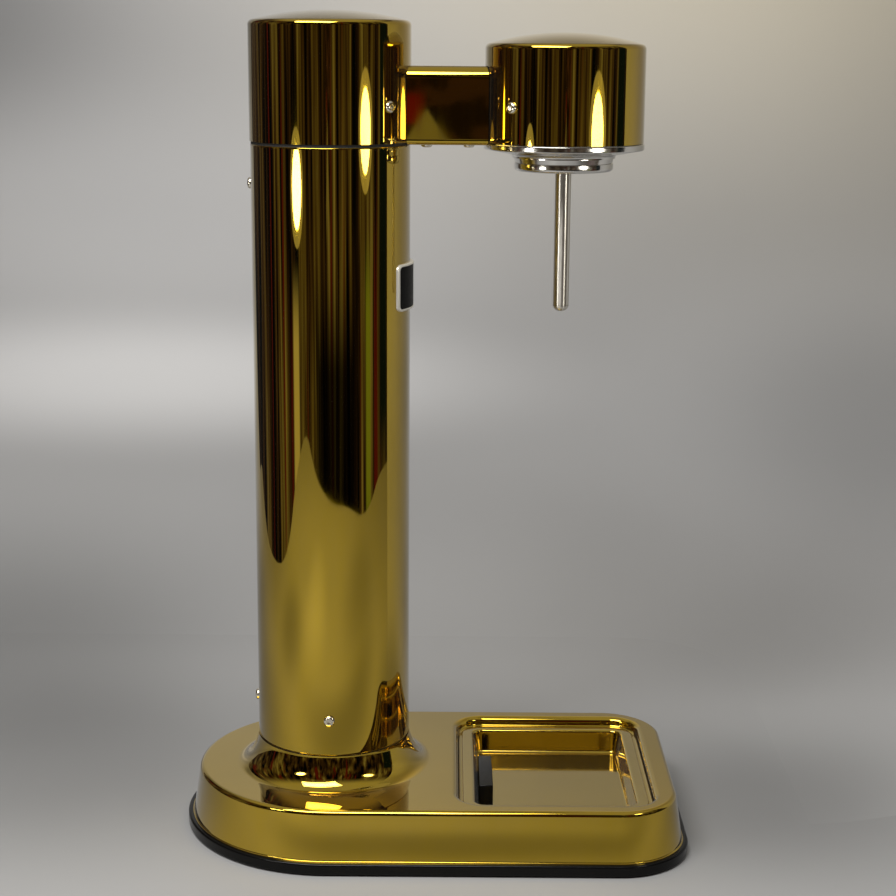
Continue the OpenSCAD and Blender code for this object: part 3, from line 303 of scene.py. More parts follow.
def box_corners(x, y, half_x, half_y, radius):
    dx, dy = half_x - radius, half_y - radius
    return [(x + dx, y - dy, radius, -90, 0), (x + dx, y + dy, radius, 0, 90),
            (x - dx, y + dy, radius, 90, 180), (x - dx, y - dy, radius, 180, 270)]


def circle(x, y, radius, z, turns=TURNS):
    angles = [2 * pi * i / turns for i in range(turns)]
    return [(x + radius * cos(a), y + radius * sin(a), z) for a in angles]


BASE_OUTLINE = outline([(FRONT_X, -FRONT_Y, FRONT_CORNER, -90, 0), (FRONT_X, FRONT_Y, FRONT_CORNER, 0, 90),
                        (COLUMN_X, 0, BASE_HALF, 90, 270)])
RECESS_CORNER = TRAY_CORNER + TRAY_RIM + RECESS_SLOPE
RECESS_OUTLINE = outline(box_corners(HEAD_X, 0, RECESS_HALF_X, RECESS_HALF_Y, RECESS_CORNER), 24)
WELL_IN = RECESS_SLOPE + TRAY_RIM
WELL_CORNERS = box_corners(HEAD_X, 0, RECESS_HALF_X - WELL_IN, RECESS_HALF_Y - WELL_IN, TRAY_CORNER)
WELL_OUTLINE = outline(WELL_CORNERS, 24, 0.5)


class Nodes:
    """The shader nodes of one tree."""

    def __init__(self, tree):
        self.tree = tree

    def node(self, kind, sockets=(), **settings):
        node = self.tree.nodes.new("ShaderNode" + kind)
        for key, value in settings.items():
            setattr(node, key, value)
        for key, value in dict(sockets).items():
            self.put(value, node.inputs[key])
        return node

    def put(self, value, socket):
        """Links an output to a socket, or sets the socket to a plain value, a colour without its alpha."""
        if hasattr(value, "is_output"):
            self.tree.links.new(value, socket)
        else:
            socket.default_value = (*value, 1) if socket.type == "RGBA" else value

    def maths(self, operation, *values):
        return self.node("Math", enumerate(values), operation=operation).outputs["Value"]

    def vectors(self, operation, *values):
        node = self.node("VectorMath", enumerate(values), operation=operation)
        return node.outputs["Value" if operation == "LENGTH" else "Vector"]

    def ramp(self, value, low, high, start=0.3, end=0.7, curve="LINEAR"):
        """Runs from low to high as value goes from start to end."""
        sockets = {"Value": value, "From Min": start, "From Max": end, "To Min": low, "To Max": high}
        return self.node("MapRange", sockets, interpolation_type=curve).outputs["Result"]

    def mixed(self, share, first, second, blend="MIX"):
        sockets = {"Factor": share, "A": first, "B": second}
        return self.node("Mix", sockets, data_type="RGBA", blend_type=blend).outputs["Result"]

    def noise(self, vector, scale, detail, roughness=0.5):
        sockets = {"Vector": vector, "Scale": scale, "Detail": detail, "Roughness": roughness}
        return self.node("TexNoise", sockets).outputs["Fac"]


class Finish(Nodes):
    """A procedural material, built node by node from the object's own coordinates."""

    def __init__(self, name, **sockets):
        self.material = bpy.data.materials.new(name)
        self.material.use_nodes = True
        super().__init__(self.material.node_tree)
        self.shader = self.tree.nodes["Principled BSDF"]
        self.place = self.node("TexCoord").outputs["Object"]
        for key, value in sockets.items():
            self.into(value, key.replace("_", " "))

    def into(self, value, socket):
        self.put(value, self.shader.inputs[socket])

    def grain(self, scale, detail, stretch=None):
        """Noise through the object, or along it where its coordinates are stretched."""
        place = self.place
        if stretch:
            place = self.node("Mapping", {"Vector": place, "Scale": stretch}).outputs["Vector"]
        return self.noise(place, scale, detail)

    def skin(self, clouds, light, dark, marks, *rough):
        """Colour from one grain, and roughness from another."""
        self.into(self.mixed(clouds, light, dark), "Base Color")
        self.into(self.ramp(marks, *rough), "Roughness")

    def pool(self, place, reach):
        """1 at a place, falling smoothly to 0 at its reach along each axis."""
        away = self.vectors("DIVIDE", self.vectors("SUBTRACT", self.place, place), reach)
        return self.ramp(self.vectors("LENGTH", away), 1, 0, 0, 1, "SMOOTHERSTEP")

    def bump(self, height, distance):
        self.into(self.node("Bump", {"Height": height, "Distance": distance}).outputs["Normal"], "Normal")


def polished(name, light, dark, edge, smooth, coat=0.0, dust=0.0, metallic=1.0):
    """Mirror-polished metal with faint wipe marks and a trace of waviness."""
    finish = Finish(name, Metallic=metallic, Specular_Tint=edge, Coat_Weight=coat, Coat_Roughness=0.02,
                    Sheen_Weight=dust, Sheen_Roughness=0.4)
    wiped = finish.grain(160, 3, (1, 1, 0.12))
    finish.skin(finish.ramp(finish.grain(28, 4), 0, 1), light, dark, wiped, smooth, smooth + 0.035, 0.35, 0.8)
    finish.bump(finish.grain(22, 1), 0.00002)
    return finish.material


def drawn(name, light, dark, smooth):
    """Polished tube whose hair-fine rings draw a lamp out into a long line."""
    finish = Finish(name, Metallic=1.0, Specular_Tint=(0.45, 0.43, 0.40), Anisotropic=0.92,
                    Anisotropic_Rotation=0.25)
    finish.skin(finish.grain(60, 3), light, dark, finish.grain(220, 2), smooth, smooth + 0.02)
    finish.into(finish.node("Tangent", direction_type="RADIAL", axis="Z").outputs["Tangent"], "Tangent")
    return finish.material


def turned(name, light, dark, smooth):
    """Machined or wire-drawn metal with fine tool marks."""
    finish = Finish(name, Metallic=1.0)
    marks = finish.grain(900, 2, (0.15, 0.15, 1))
    finish.skin(finish.grain(60, 3), light, dark, marks, smooth, smooth + 0.18)
    finish.bump(marks, 0.00002)
    return finish.material


def cast(name, light, dark):
    """Sand-grained cast alloy."""
    finish = Finish(name, Metallic=1.0)
    sand = finish.grain(700, 5)
    finish.skin(finish.grain(50, 4), light, dark, sand, 0.42, 0.62)
    finish.bump(sand, 0.00012)
    return finish.material


def moulded(name, light, dark, smooth, rough, grain_scale, grain_depth, gloss=0.5):
    """Moulded plastic or rubber."""
    finish = Finish(name, Specular_IOR_Level=gloss)
    pores = finish.grain(grain_scale, 4)
    finish.skin(finish.grain(45, 3), light, dark, pores, smooth, rough)
    finish.bump(pores, grain_depth)
    return finish.material


GOLD_EDGE = (0.80, 0.85, 1.0)
GOLD = polished("polished_gold", (0.58, 0.385, 0.013), (0.54, 0.36, 0.010), GOLD_EDGE, 0.018,
                coat=0.75, dust=0.04)
TRAY_GOLD = polished("satin_gold", (0.57, 0.40, 0.050), (0.53, 0.37, 0.042), GOLD_EDGE, 0.085,
                     coat=0.8, dust=0.06)
STEEL = polished("polished_steel", (0.80, 0.785, 0.75), (0.70, 0.685, 0.65), (0.85, 0.85, 0.85), 0.13)
DRAWN_STEEL = drawn("drawn_steel", (0.86, 0.83, 0.76), (0.78, 0.75, 0.68), 0.30)
SATIN_STEEL = polished("satin_steel", (0.92, 0.90, 0.83), (0.86, 0.84, 0.77), (1.0, 1.0, 1.0), 0.30,
                       metallic=0.45)
SCREW_STEEL = polished("screw_steel", (0.92, 0.87, 0.74), (0.84, 0.79, 0.66), (1.0, 0.97, 0.90), 0.20)
PLAIN_STEEL = turned("plain_steel", (0.62, 0.61, 0.59), (0.50, 0.49, 0.47), 0.24)
ALLOY = cast("cast_alloy", (0.60, 0.61, 0.62), (0.50, 0.51, 0.52))
BRASS = turned("valve_brass", (0.74, 0.55, 0.26), (0.62, 0.45, 0.20), 0.22)
RUBBER = moulded("rubber", (0.030, 0.030, 0.031), (0.020, 0.020, 0.021), 0.62, 0.82, 600, 0.00008)
BLACK = moulded("black_plastic", (0.0045,) * 3, (0.003,) * 3, 0.14, 0.22, 420, 0.000012, gloss=0.18)
BADGE_BLACK = moulded("badge_black", (0.006,) * 3, (0.004,) * 3, 0.34, 0.44, 700, 0.00001, gloss=0.06)
FINISH_OF = {"polished_gold": GOLD, "polished_steel": STEEL, "plain_steel": PLAIN_STEEL, "cast_alloy": ALLOY,
             "valve_brass": BRASS, "rubber": RUBBER, "black_plastic": BLACK}
SLOT_OF = {part["node"]: part["material_slot"] for part in frame["record"]["subparts"]}
for node_name, solid in frame["nodes"].items():
    solid.data.materials.clear()
    solid.data.materials.append(FINISH_OF[SLOT_OF[node_name]])


def base_shell():
    """Pressed shell: leaning skirt, round edge, flat top, drawn neck and the tray's recess."""
    lean = atan(SHELL_LEAN / (BASE_Z - LEDGE_Z))
    height = BASE_Z - LEDGE_Z - SHELL_EDGE
    edge_in = SHELL_LEDGE + (SHELL_EDGE + height * sin(lean)) / cos(lean)
    curl, lift, rim = 0.7, 0.1, 0.5
    along = (lift + curl * (1 - sin(lean))) / cos(lean)
    curl_in = -SHELL_LEDGE - along * sin(lean) + curl * cos(lean)
    skirt = arc(curl_in, LEDGE_Z + lift + curl, curl, 270, 180 + degrees(lean), 6)
    skirt += arc(-edge_in, BASE_Z - SHELL_EDGE, SHELL_EDGE, degrees(lean), 90, 12)
    skirt = eased(skirt) + [(-edge_in - rim, BASE_Z)]
    builder = Builder()
    rings = builder.swept(BASE_OUTLINE, skirt)

    outer = NECK_RADIUS + NECK_FILLET
    lip, lip_turn = 0.3, 23
    wide, tall = NECK_FILLET / cos(radians(lip_turn)), (NECK_RISE - lip) / (1 - sin(radians(lip_turn)))
    curve = [radians(a) for a in range(90, lip_turn - 1, -3)]
    neck = [(outer - wide * cos(a), BASE_Z + tall * (1 - sin(a))) for a in curve]
    neck = [(outer + rim, BASE_Z), *neck, (NECK_RADIUS, SEAM_Z)]
    neck_rings = [builder.ring(circle(COLUMN_X, 0, r, z)) for r, z in neck]
    builder.bands(neck_rings)

    steep = 2 * atan(RECESS_DEPTH / RECESS_SLOPE)
    both = RECESS_SLOPE / sin(steep)
    upper = both * RECESS_SOFT_SHARE
    lower = both - upper
    floor = BASE_Z - RECESS_DEPTH
    hole = WELL_IN - TRAY_SHEET - 0.7
    recess = [(rim, BASE_Z)] + arc(0, BASE_Z - upper, upper, 90, 90 + degrees(steep), 16)
    recess += arc(-RECESS_SLOPE, floor + lower, lower, 270 + degrees(steep), 270, 12)[1:]
    recess = eased(recess + [(-hole, floor)])
    recess_rings = builder.swept(RECESS_OUTLINE, recess)
    builder.fill(rings[-1], neck_rings[0], recess_rings[0])
    piece = builder.shell("shell", (COLUMN_X - 60, 0, BASE_Z + 5), SHEET)
    finished(piece, GOLD, "machine", "base_shell")


def base_plate():
    """Black plate with a rounded top edge, the cylinder's hole, and seats for feet and screws."""
    low, edge, under_shell = 0.4, 1.2, 5.6
    profile = [(-low - 0.5, FOOT_Z)] + arc(-low, FOOT_Z + low, low, 270, 360, 4)
    profile += arc(-edge, LEDGE_Z - edge, edge, 0, 90, 8)
    profile = eased(profile + [(-under_shell, LEDGE_Z)])
    builder = Builder()
    rings = builder.swept(BASE_OUTLINE, profile)
    bay_low = builder.ring(circle(COLUMN_X, 0, BAY_RADIUS, FOOT_Z))
    bay_high = builder.ring(circle(COLUMN_X, 0, BAY_RADIUS, LEDGE_Z))
    builder.band(bay_low, bay_high)
    builder.fill(rings[-1], bay_high)
    seats = []
    for node in FEET:
        lowest, highest = extent(node)
        middle = (lowest + highest) / 2
        seats.append((middle.x, middle.y, (highest.x - lowest.x) / 2 + 2 * FIT, highest.z + FIT))
    for node, count, sink in (("base_screws", 6, 2.0), ("foot_screws", 4, 2.2)):
        for x, y, radius in screw_heads(node, count):
            seats.append((x, y, radius + 2 * FIT, FOOT_Z + sink))
    mouths = []
    for x, y, radius, depth in seats:
        mouth, end = [builder.ring(circle(x, y, radius, z, 48)) for z in (FOOT_Z, depth)]
        builder.band(mouth, end)
        builder.mesh.faces.new(end)
        mouths.append(mouth)
    builder.fill(rings[0], bay_low, *mouths)
    finished(builder.solid("plate"), BLACK, "machine", "base_plate")


def screw_heads(node, count):
    """Middle and radius of each upright screw's head in a node, from its solid's points."""
    far_apart = 12
    heads = []
    for vert in frame["nodes"][node].data.vertices:
        x, y = vert.co.x / MM, vert.co.y / MM
        for head in heads:
            if hypot(x - head[0][0], y - head[0][1]) < far_apart:
                head.append((x, y))
                break
        else:
            heads.append([(x, y)])
    assert len(heads) == count, (node, len(heads))
    found = []
    for points in heads:
        xs, ys = zip(*points)
        found.append(((min(xs) + max(xs)) / 2, (min(ys) + max(ys)) / 2, (max(xs) - min(xs)) / 2))
    return found


def feet():
    soft = 0.6
    for node in FEET:
        low, high = extent(node)
        middle = (low + high) / 2
        radius = (high.x - low.x) / 2
        profile = [(0, low.z)] + arc(radius - soft, low.z + soft, soft, 270, 360, 6)
        profile += [(radius, high.z), (0, high.z)]
        piece = revolved(node.replace("foot", "rubber_foot"), profile, upright(middle.x, middle.y), 64)
        finished(piece, RUBBER, "machine", node)


def column_tube():
    soft = 0.45
    inner = TUBE_RADIUS - SHEET
    low, high = TUBE_LOW.z, TUBE_HIGH.z
    profile = [(inner, low)] + arc(TUBE_RADIUS - soft, low + soft, soft, 270, 360, 4)
    profile += arc(TUBE_RADIUS - soft, high - soft, soft, 0, 90, 4) + [(inner, high)]
    finished(revolved("tube", profile, upright(COLUMN_X)), GOLD, "machine", "column_tube")


def dome_profile(radius, low, high, side):
    """From the rim below, up the straight side, round the edge and over the dome to its middle."""
    flat = radius - DOME_EDGE
    rim = low + side - DOME_EDGE
    rise = high - rim
    sphere = (flat ** 2 + rise ** 2 - DOME_EDGE ** 2) / (2 * (rise - DOME_EDGE))
    spread = degrees(asin(flat / (sphere - DOME_EDGE)))
    points = [(radius, low)] + arc(flat, rim, DOME_EDGE, 0, 90 - spread, 14)
    points += arc(0, high - sphere, sphere, 90 - spread, 90, 28)[1:]
    return eased(points)


def domed_drum(name, x, radius, low, high, side, facing):
    """A domed drum of sheet metal with a window in its side for the arm, open below."""
    window_top = ARM_HIGH.z - SHEET
    profile = dome_profile(radius, low, high, side)
    profile = sorted(profile + [(radius, window_top)], key=lambda p: (p[1], -p[0]))
    half = asin((ARM_HALF - SHEET) / radius)
    angles = [half + (2 * pi - 2 * half) * i / TURNS for i in range(TURNS + 1)]
    angles += [-half + 2 * half * i / 24 for i in range(1, 24)]
    builder = Builder()
    rings = []
    for r, z in profile:
        r = max(r, 0)
        rings.append(builder.ring([(x + r * cos(facing + a), r * sin(facing + a), z) for a in angles]))
    for low_ring, high_ring, (_, z) in zip(rings, rings[1:], profile[1:]):
        windowed = z <= window_top + 0.001
        builder.band(low_ring, high_ring, closed=not windowed)
        if windowed:
            for i in range(TURNS, len(angles) - 1):
                quad = {low_ring[i], low_ring[i + 1], high_ring[i], high_ring[i + 1]}
                face = next(f for f in low_ring[i].link_faces if set(f.verts) == quad)
                builder.mesh.faces.remove(face)
    loose = [v for v in builder.mesh.verts if not v.link_faces]
    bmesh.ops.delete(builder.mesh, geom=loose, context="VERTS")
    return builder.shell(name, (x, -radius - 30, (low + high) / 2), SHEET)


def column_cap():
    piece = domed_drum("cap", COLUMN_X, CAP_RADIUS, CAP_LOW.z + CAP_LIFT, CAP_HIGH.z, CAP_SIDE, 0)
    finished(piece, GOLD, "machine", "column_cap")


def cap_gasket():
    """Dark ring in the joint between the tube and the cap."""
    low, high = TUBE_HIGH.z + FIT, CAP_LOW.z + CAP_LIFT - FIT
    inner, outer = TUBE_RADIUS - 1.4, TUBE_RADIUS - 0.35
    profile = [(inner, low), (outer, low), (outer, high), (inner, high)]
    finished(revolved("cap_gasket", profile, upright(COLUMN_X)), RUBBER, "machine")


def arm_shell():
    """Sleeve of sheet metal, coped to the round walls of cap and head."""
    half = ARM_HALF
    low, high = ARM_LOW.z, ARM_HIGH.z
    top, bottom = ARM_TOP_EDGE, ARM_LOW_EDGE
    section = arc(half - bottom, low + bottom, bottom, -90, 0, 8)
    section += arc(half - top, high - top, top, 0, 90, 14)
    section += arc(-half + top, high - top, top, 90, 180, 14)
    section += arc(-half + bottom, low + bottom, bottom, 180, 270, 8)
    section = eased(section, 0.4, closed=True)
    near, far = CAP_RADIUS + COPE_GAP, STEEL_RADIUS + COPE_GAP
    builder = Builder()
    rings = []
    for t in (0, 0.03, 0.5, 0.97, 1):
        points = []
        for y, z in section:
            start = COLUMN_X + sqrt(near ** 2 - y ** 2)
            end = HEAD_X - sqrt(far ** 2 - y ** 2)
            points.append((start + (end - start) * t, y, z))
        rings.append(builder.ring(points))
    builder.bands(rings)
    piece = builder.shell("arm_sleeve", ((COLUMN_X + HEAD_X) / 2, -half - 20, (low + high) / 2), SHEET)
    finished(piece, GOLD, "machine", "arm_shell")


def head_shell():
    piece = domed_drum("head_drum", HEAD_X, HEAD_RADIUS, HEAD_LOW.z, HEAD_HIGH.z, HEAD_SIDE, pi)
    finished(piece, GOLD, "machine", "head_shell")


def head_plate():
    """Polished plate under the head: rounded rim, sloped underside and a fillet to the collar."""
    top, skirt = STEEL_HIGH.z, STEEL_LOW.z
    rim_low = top - 3.1
    ceiling = rim_low - 1.6
    neck, throat = COLLAR_RADIUS + 0.8, 5.1
    top_edge, low_edge, fillet = 0.4, 0.7, 1.4
    profile = [(throat, top)] + arc(STEEL_RADIUS - top_edge, top - top_edge, top_edge, 90, 0, 4)
    profile += arc(STEEL_RADIUS - low_edge, rim_low + low_edge, low_edge, 0, -75, 6)
    profile += arc(neck + fillet, skirt + 0.3, fillet, 100, 180, 10)
    profile += [(neck, skirt), (COLLAR_BORE, skirt), (COLLAR_BORE, ceiling), (throat, ceiling)]
    finished(revolved("plate_steel", profile, upright(HEAD_X)), STEEL, "machine", "head_plate")


def bottle_collar():
    """Collar with a leaning band, a small bead under it, an upright side and a round foot."""
    low, high = COLLAR_LOW.z, COLLAR_HIGH.z
    radius, bore = COLLAR_RADIUS, COLLAR_BORE
    band, lean, side = 2.2, 0.55, radius - 0.15
    bead, groove, foot, mouth = 0.35, 0.1, 1.9, 0.6
    profile = [(bore, high), (radius, high), (radius - lean, high - band)]
    profile += arc(side - bead, high - band - bead - groove, bead, 75, 0, 5)
    profile += arc(side - foot, low + foot, foot, 0, -90, 12)
    profile += arc(bore + mouth, low + mouth, mouth, 270, 180, 5)
    finished(revolved("collar", profile, upright(HEAD_X)), STEEL, "machine", "bottle_collar")


def nozzle():
    """Gas tube with its rounded tip."""
    radius = NOZZLE_RADIUS + NOZZLE_WIDER
    bore, jet, round_end = radius - 1.4, 0.6, radius - 0.6
    low, high = NOZZLE_LOW.z, NOZZLE_HIGH.z
    tube = [(bore, low), (radius, low), (radius, high), (bore, high)]
    tip = [(jet, TIP_LOW.z)] + arc(radius - round_end, TIP_LOW.z + round_end, round_end, -90, 0, 10)
    tip += [(radius, low - FIT), (bore - FIT, low - FIT), (bore - FIT, TIP_HIGH.z), (jet, TIP_HIGH.z)]
    for name, profile, node in (("gas_tube", tube, "nozzle_tube"), ("gas_tip", tip, "nozzle_tip")):
        finished(revolved(name, profile, upright(HEAD_X), 96), DRAWN_STEEL, "machine", node)


def spring(name, node, x):
    """Coil of round wire, wound evenly from the foot of its solid to its top."""
    low, high = extent(node)
    wire, turns, per_turn, sides = 0.4, 5, 48, 12
    radius = (high.x - low.x) / 2 - wire
    tall = high.z - low.z
    builder = Builder()
    rings = []
    for i in range(turns * per_turn + 1):
        a = 2 * pi * i / per_turn
        middle = low.z + wire + (tall - 2 * wire) * i / (turns * per_turn)
        section = arc(radius, middle, wire, 0, 360 - 360 / sides, sides - 1)
        rings.append(builder.ring([(x + out * cos(a), out * sin(a), z) for out, z in section]))
    builder.bands(rings)
    builder.mesh.faces.new(rings[0])
    builder.mesh.faces.new(rings[-1])
    piece = finished(builder.solid(name, 60), PLAIN_STEEL, "machine", node)
    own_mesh(piece)


def badge():
    """Small curved plate on the column: a bright rim round a bare black field."""
    width = (BADGE_HIGH.y - BADGE_LOW.y) / 2 - 0.8
    tall = (BADGE_HIGH.z - BADGE_LOW.z) / 2
    middle = (BADGE_HIGH.z + BADGE_LOW.z) / 2
    face = TUBE_RADIUS + FIT
    thick = BADGE_HIGH.x - COLUMN_X - face
    thinning = 0.4

    def wrapped(y, z, radius):
        """A place on the badge, which is thinner towards its two upright edges."""
        radius = face + (radius - face) * (1 - thinning * (y / width) ** 2)
        return (COLUMN_X + sqrt(radius ** 2 - y ** 2), y, z)

    points = outline(box_corners(0, 0, width, tall, 3.0), 12, shares=[i / 24 for i in range(1, 24)])
    front = face + thick
    bead, lip, rim, tongue = 0.9, 0.2, 1.15, 3
    section = [(0, face)] + [(-bead + x, y) for x, y in arc(0, front - bead, bead, 0, 90, 8)]
    section += [(-rim + lip + x, y) for x, y in arc(0, front - lip, lip, 90, 180, 5)]
    section += [(-rim, face + thick / 2), (-rim - tongue, face + thick / 2), (-rim - tongue, face)]
    builder = Builder()
    rings = [builder.ring([wrapped(x + nx * out, middle + y + ny * out, radius) for x, y, nx, ny in points])
             for out, radius in section]
    builder.bands(rings + rings[:1])
    finished(builder.solid("badge_frame"), SATIN_STEEL, "machine", "badge_rim")

    builder = Builder()
    half, up, corner, sunk = width - rim - FIT, tall - rim - FIT, 1.5, 0.2
    columns, rows = 60, 12
    lines = []
    for i in range(columns + 1):
        y = -half + 2 * half * i / columns
        over = max(0.0, abs(y) - (half - corner))
        reach = up - corner + sqrt(max(corner ** 2 - over ** 2, 0))
        lines.append(builder.ring([wrapped(y, middle - reach + 2 * reach * j / rows, front - sunk)
                                   for j in range(rows + 1)]))
    builder.bands(lines, closed=False)
    piece = builder.shell("badge_blank", (COLUMN_X + TUBE_RADIUS + 20, 0, middle), thick / 2 - 0.3)
    finished(piece, BADGE_BLACK, "machine", "badge_field")


def drip_tray():
    """Lift-out tray: flat rim, round edge, leaning walls and a flat floor."""
    rim_z = TRAY_HIGH.z
    floor = TRAY_LOW.z + TRAY_SHEET
    brim, edge, fillet = 0.75, 1.7, 1.6
    lean = atan(TRAY_LEAN / (rim_z - floor))
    section = arc(TRAY_RIM - TRAY_GAP - brim, rim_z - brim, brim, 0, 90, 8)
    section += arc(edge, rim_z - edge, edge, 90, 180 - degrees(lean), 12)
    fillet_in = -TRAY_LEAN - fillet * tan(pi / 4 - lean / 2)
    section += arc(fillet_in, floor + fillet, fillet, 360 - degrees(lean), 270, 10)
    section = eased(section, 0.4)
    section.append((section[-1][0] - 0.5, floor))
    builder = Builder()
    builder.fill(builder.swept(WELL_OUTLINE, section)[-1])
    finished(builder.shell("tray", (HEAD_X, 0, floor + 10), TRAY_SHEET), TRAY_GOLD, "drip_tray", "drip_tray")


def tray_block():
    """Black block with softened edges at its top."""
    builder = Builder()
    low, high, soft = BLOCK_LOW, BLOCK_HIGH, 0.6
    made = bmesh.ops.create_cube(builder.mesh, size=1)
    for vert in made["verts"]:
        vert.co = Vector(((high[i] if vert.co[i] > 0 else low[i]) * MM for i in range(3)))
    upper = [e for e in builder.mesh.edges if max(v.co.z for v in e.verts) > high.z * MM - 1e-6]
    bmesh.ops.bevel(builder.mesh, geom=upper, offset=soft * MM, segments=4, profile=0.5, affect="EDGES")
    finished(builder.solid("drip_block"), BLACK, "drip_tray", "tray_block")


def lever():
    """Arm and grip on the far side, with the bush at the hub."""
    axis_x, axis_z = (SHAFT_LOW.x + SHAFT_HIGH.x) / 2, (SHAFT_LOW.z + SHAFT_HIGH.z) / 2
    across = Matrix.Rotation(-pi / 2, 4, "X")

    def on_shaft(y):
        return around(Matrix.Translation((axis_x, y, axis_z)) @ across)

    hub_y = extent("lever_arm")[0].y
    wide, radius, inner_edge, outer_edge, sunk = 9.0, 8.6, 0.8, 1.6, 1.4
    profile = [(SHAFT_RADIUS, 0)] + arc(radius - inner_edge, inner_edge, inner_edge, -90, 0, 5)
    profile += arc(radius - outer_edge, wide - outer_edge, outer_edge, 0, 90, 8)
    profile += [(0, wide), (0, wide - sunk), (SHAFT_RADIUS, wide - sunk)]
    hub = revolved("lever_hub", profile, on_shaft(hub_y), 96)

    rod_y = hub_y + wide / 2 + 0.8
    start = Vector((axis_x, rod_y, axis_z))
    end = Vector((axis_x + LEVER_REACH, rod_y, axis_z - LEVER_DROP))
    turn = Vector((0, 0, 1)).rotation_difference((end - start).normalized())
    along_rod = around(Matrix.Translation(start) @ turn.to_matrix().to_4x4())
    length = (end - start).length
    rod, flare, plug = 3.2, 0.9, 4
    profile = [(0, radius - 3), (rod + flare, radius - 3), (rod, radius + 5)]
    profile += [(rod, length - plug), (0, length - plug)]
    handle = join("lever_handle", hub, revolved("lever_rod", profile, along_rod, 64))
    finished(handle, GOLD, "lever", "lever_arm")

    grip, low_edge, end_edge, socket = 5.4, 1.2, 2, 3
    foot = length - GRIP_LENGTH
    profile = [(rod + FIT, foot)] + arc(grip - low_edge, foot + low_edge, low_edge, -90, 0, 6)
    profile += arc(grip - end_edge, length - end_edge, end_edge, 0, 90, 8)
    profile += [(0, length), (0, length - socket), (rod + FIT, length - socket)]
    finished(revolved("lever_knob", profile, along_rod, 96), STEEL, "lever", "lever_grip")

    low, high = extent("cap_bush")
    bush, depth, edge = (high.x - low.x) / 2, high.y - low.y, 0.3
    profile = [(SHAFT_RADIUS + FIT, 0), (bush, 0)] + arc(bush - edge, depth - edge, edge, 0, 90, 4)
    profile += [(SHAFT_RADIUS + FIT, depth)]
    finished(revolved("shaft_bush", profile, on_shaft(low.y), 96), STEEL, "machine", "cap_bush")


def join(name, *pieces):
    builder = Builder()
    for piece in pieces:
        builder.mesh.from_mesh(piece.data)
        bpy.data.objects.remove(piece)
    return smoothed(builder.object(name))


def button_screw():
    """One button-head screw with a hex socket, its head's underside at the origin and +Z outwards."""
    head, tall, edge, crown = SCREW_HEAD, 1.65, 0.25, 1.35
    shank, length, socket = 1.5, 4.0, 1.2
    builder = Builder()
    dome = [(shank, -length), (shank, 0), (head, 0), (head, edge)]
    dome += arc(head - crown, tall - crown, crown, 0, 90, 8)[1:] + [(socket + edge, tall)]
    rings = [builder.ring(circle(0, 0, r, z, 48)) for r, z in dome]
    builder.mesh.faces.new(reversed(rings[0]))
    builder.bands(rings)
    across = [(socket * cos(radians(60 * k)), socket * sin(radians(60 * k))) for k in range(6)]
    mouth, floor = [builder.ring([(x, y, z) for x, y in across]) for z in (tall, tall * 0.35)]
    builder.fill(rings[-1], mouth)
    builder.band(mouth, floor)
    builder.mesh.faces.new(floor)
    return builder.solid("button_screw")


def screw_tree():
    """Geometry nodes that set a screw on every point, turned to its facing, with a chance spin."""
    tree = bpy.data.node_groups.new("screw_set", "GeometryNodeTree")
    for name, kind in (("Geometry", "Geometry"), ("Screw", "Object"), ("Finish", "Material"),
                       ("Size", "Float"), ("Seed", "Int")):
        tree.interface.new_socket(name, in_out="INPUT", socket_type="NodeSocket" + kind)
    tree.interface.items_tree["Size"].default_value = 1.0
    tree.interface.new_socket("Geometry", in_out="OUTPUT", socket_type="NodeSocketGeometry")
    given, result, facing, align, spin, twist, turn, screw, place, real, paint = [
        tree.nodes.new(kind) for kind in (
            "NodeGroupInput", "NodeGroupOutput", "GeometryNodeInputNamedAttribute",
            "FunctionNodeAlignRotationToVector", "FunctionNodeRandomValue",
            "FunctionNodeAxisAngleToRotation", "FunctionNodeRotateRotation", "GeometryNodeObjectInfo",
            "GeometryNodeInstanceOnPoints", "GeometryNodeRealizeInstances", "GeometryNodeSetMaterial")]
    facing.data_type = "FLOAT_VECTOR"
    facing.inputs["Name"].default_value = "facing"
    align.axis = "Z"
    spin.data_type = "FLOAT"
    float_max, float_value = spin.inputs[3], spin.outputs[1]
    float_max.default_value = pi / 3
    turn.rotation_space = "LOCAL"
    for output, node, socket in (
            (facing.outputs["Attribute"], align, "Vector"), (given.outputs["Seed"], spin, "Seed"),
            (float_value, twist, "Angle"), (align.outputs["Rotation"], turn, "Rotation"),
            (twist.outputs["Rotation"], turn, "Rotate By"), (given.outputs["Screw"], screw, "Object"),
            (given.outputs["Geometry"], place, "Points"), (screw.outputs["Geometry"], place, "Instance"),
            (turn.outputs["Rotation"], place, "Rotation"), (given.outputs["Size"], place, "Scale"),
            (place.outputs["Instances"], real, "Geometry"), (real.outputs["Geometry"], paint, "Geometry"),
            (given.outputs["Finish"], paint, "Material"), (paint.outputs["Geometry"], result, "Geometry")):
        tree.links.new(output, node.inputs[socket])
    return tree


def set_screws(tree, screw, name, node, places, seed):
    """Screws at places, each a point and the way its head faces."""
    mesh = bpy.data.meshes.new(name)
    mesh.from_pydata([Vector(point) * MM for point, facing in places], [], [])
    facings = mesh.attributes.new("facing", "FLOAT_VECTOR", "POINT")
    facings.data.foreach_set("vector", [value for point, facing in places for value in facing])
    piece = linked(name, mesh)
    modifier = piece.modifiers.new("screws", "NODES")
    modifier.node_group = tree
    inputs = {"Screw": screw, "Finish": SCREW_STEEL, "Seed": seed, "Size": 1.0}
    for item in tree.interface.items_tree:
        if item.in_out == "INPUT" and item.name in inputs:
            modifier[item.identifier] = inputs[item.name]
    finished(baked(piece), SCREW_STEEL, "machine", node)


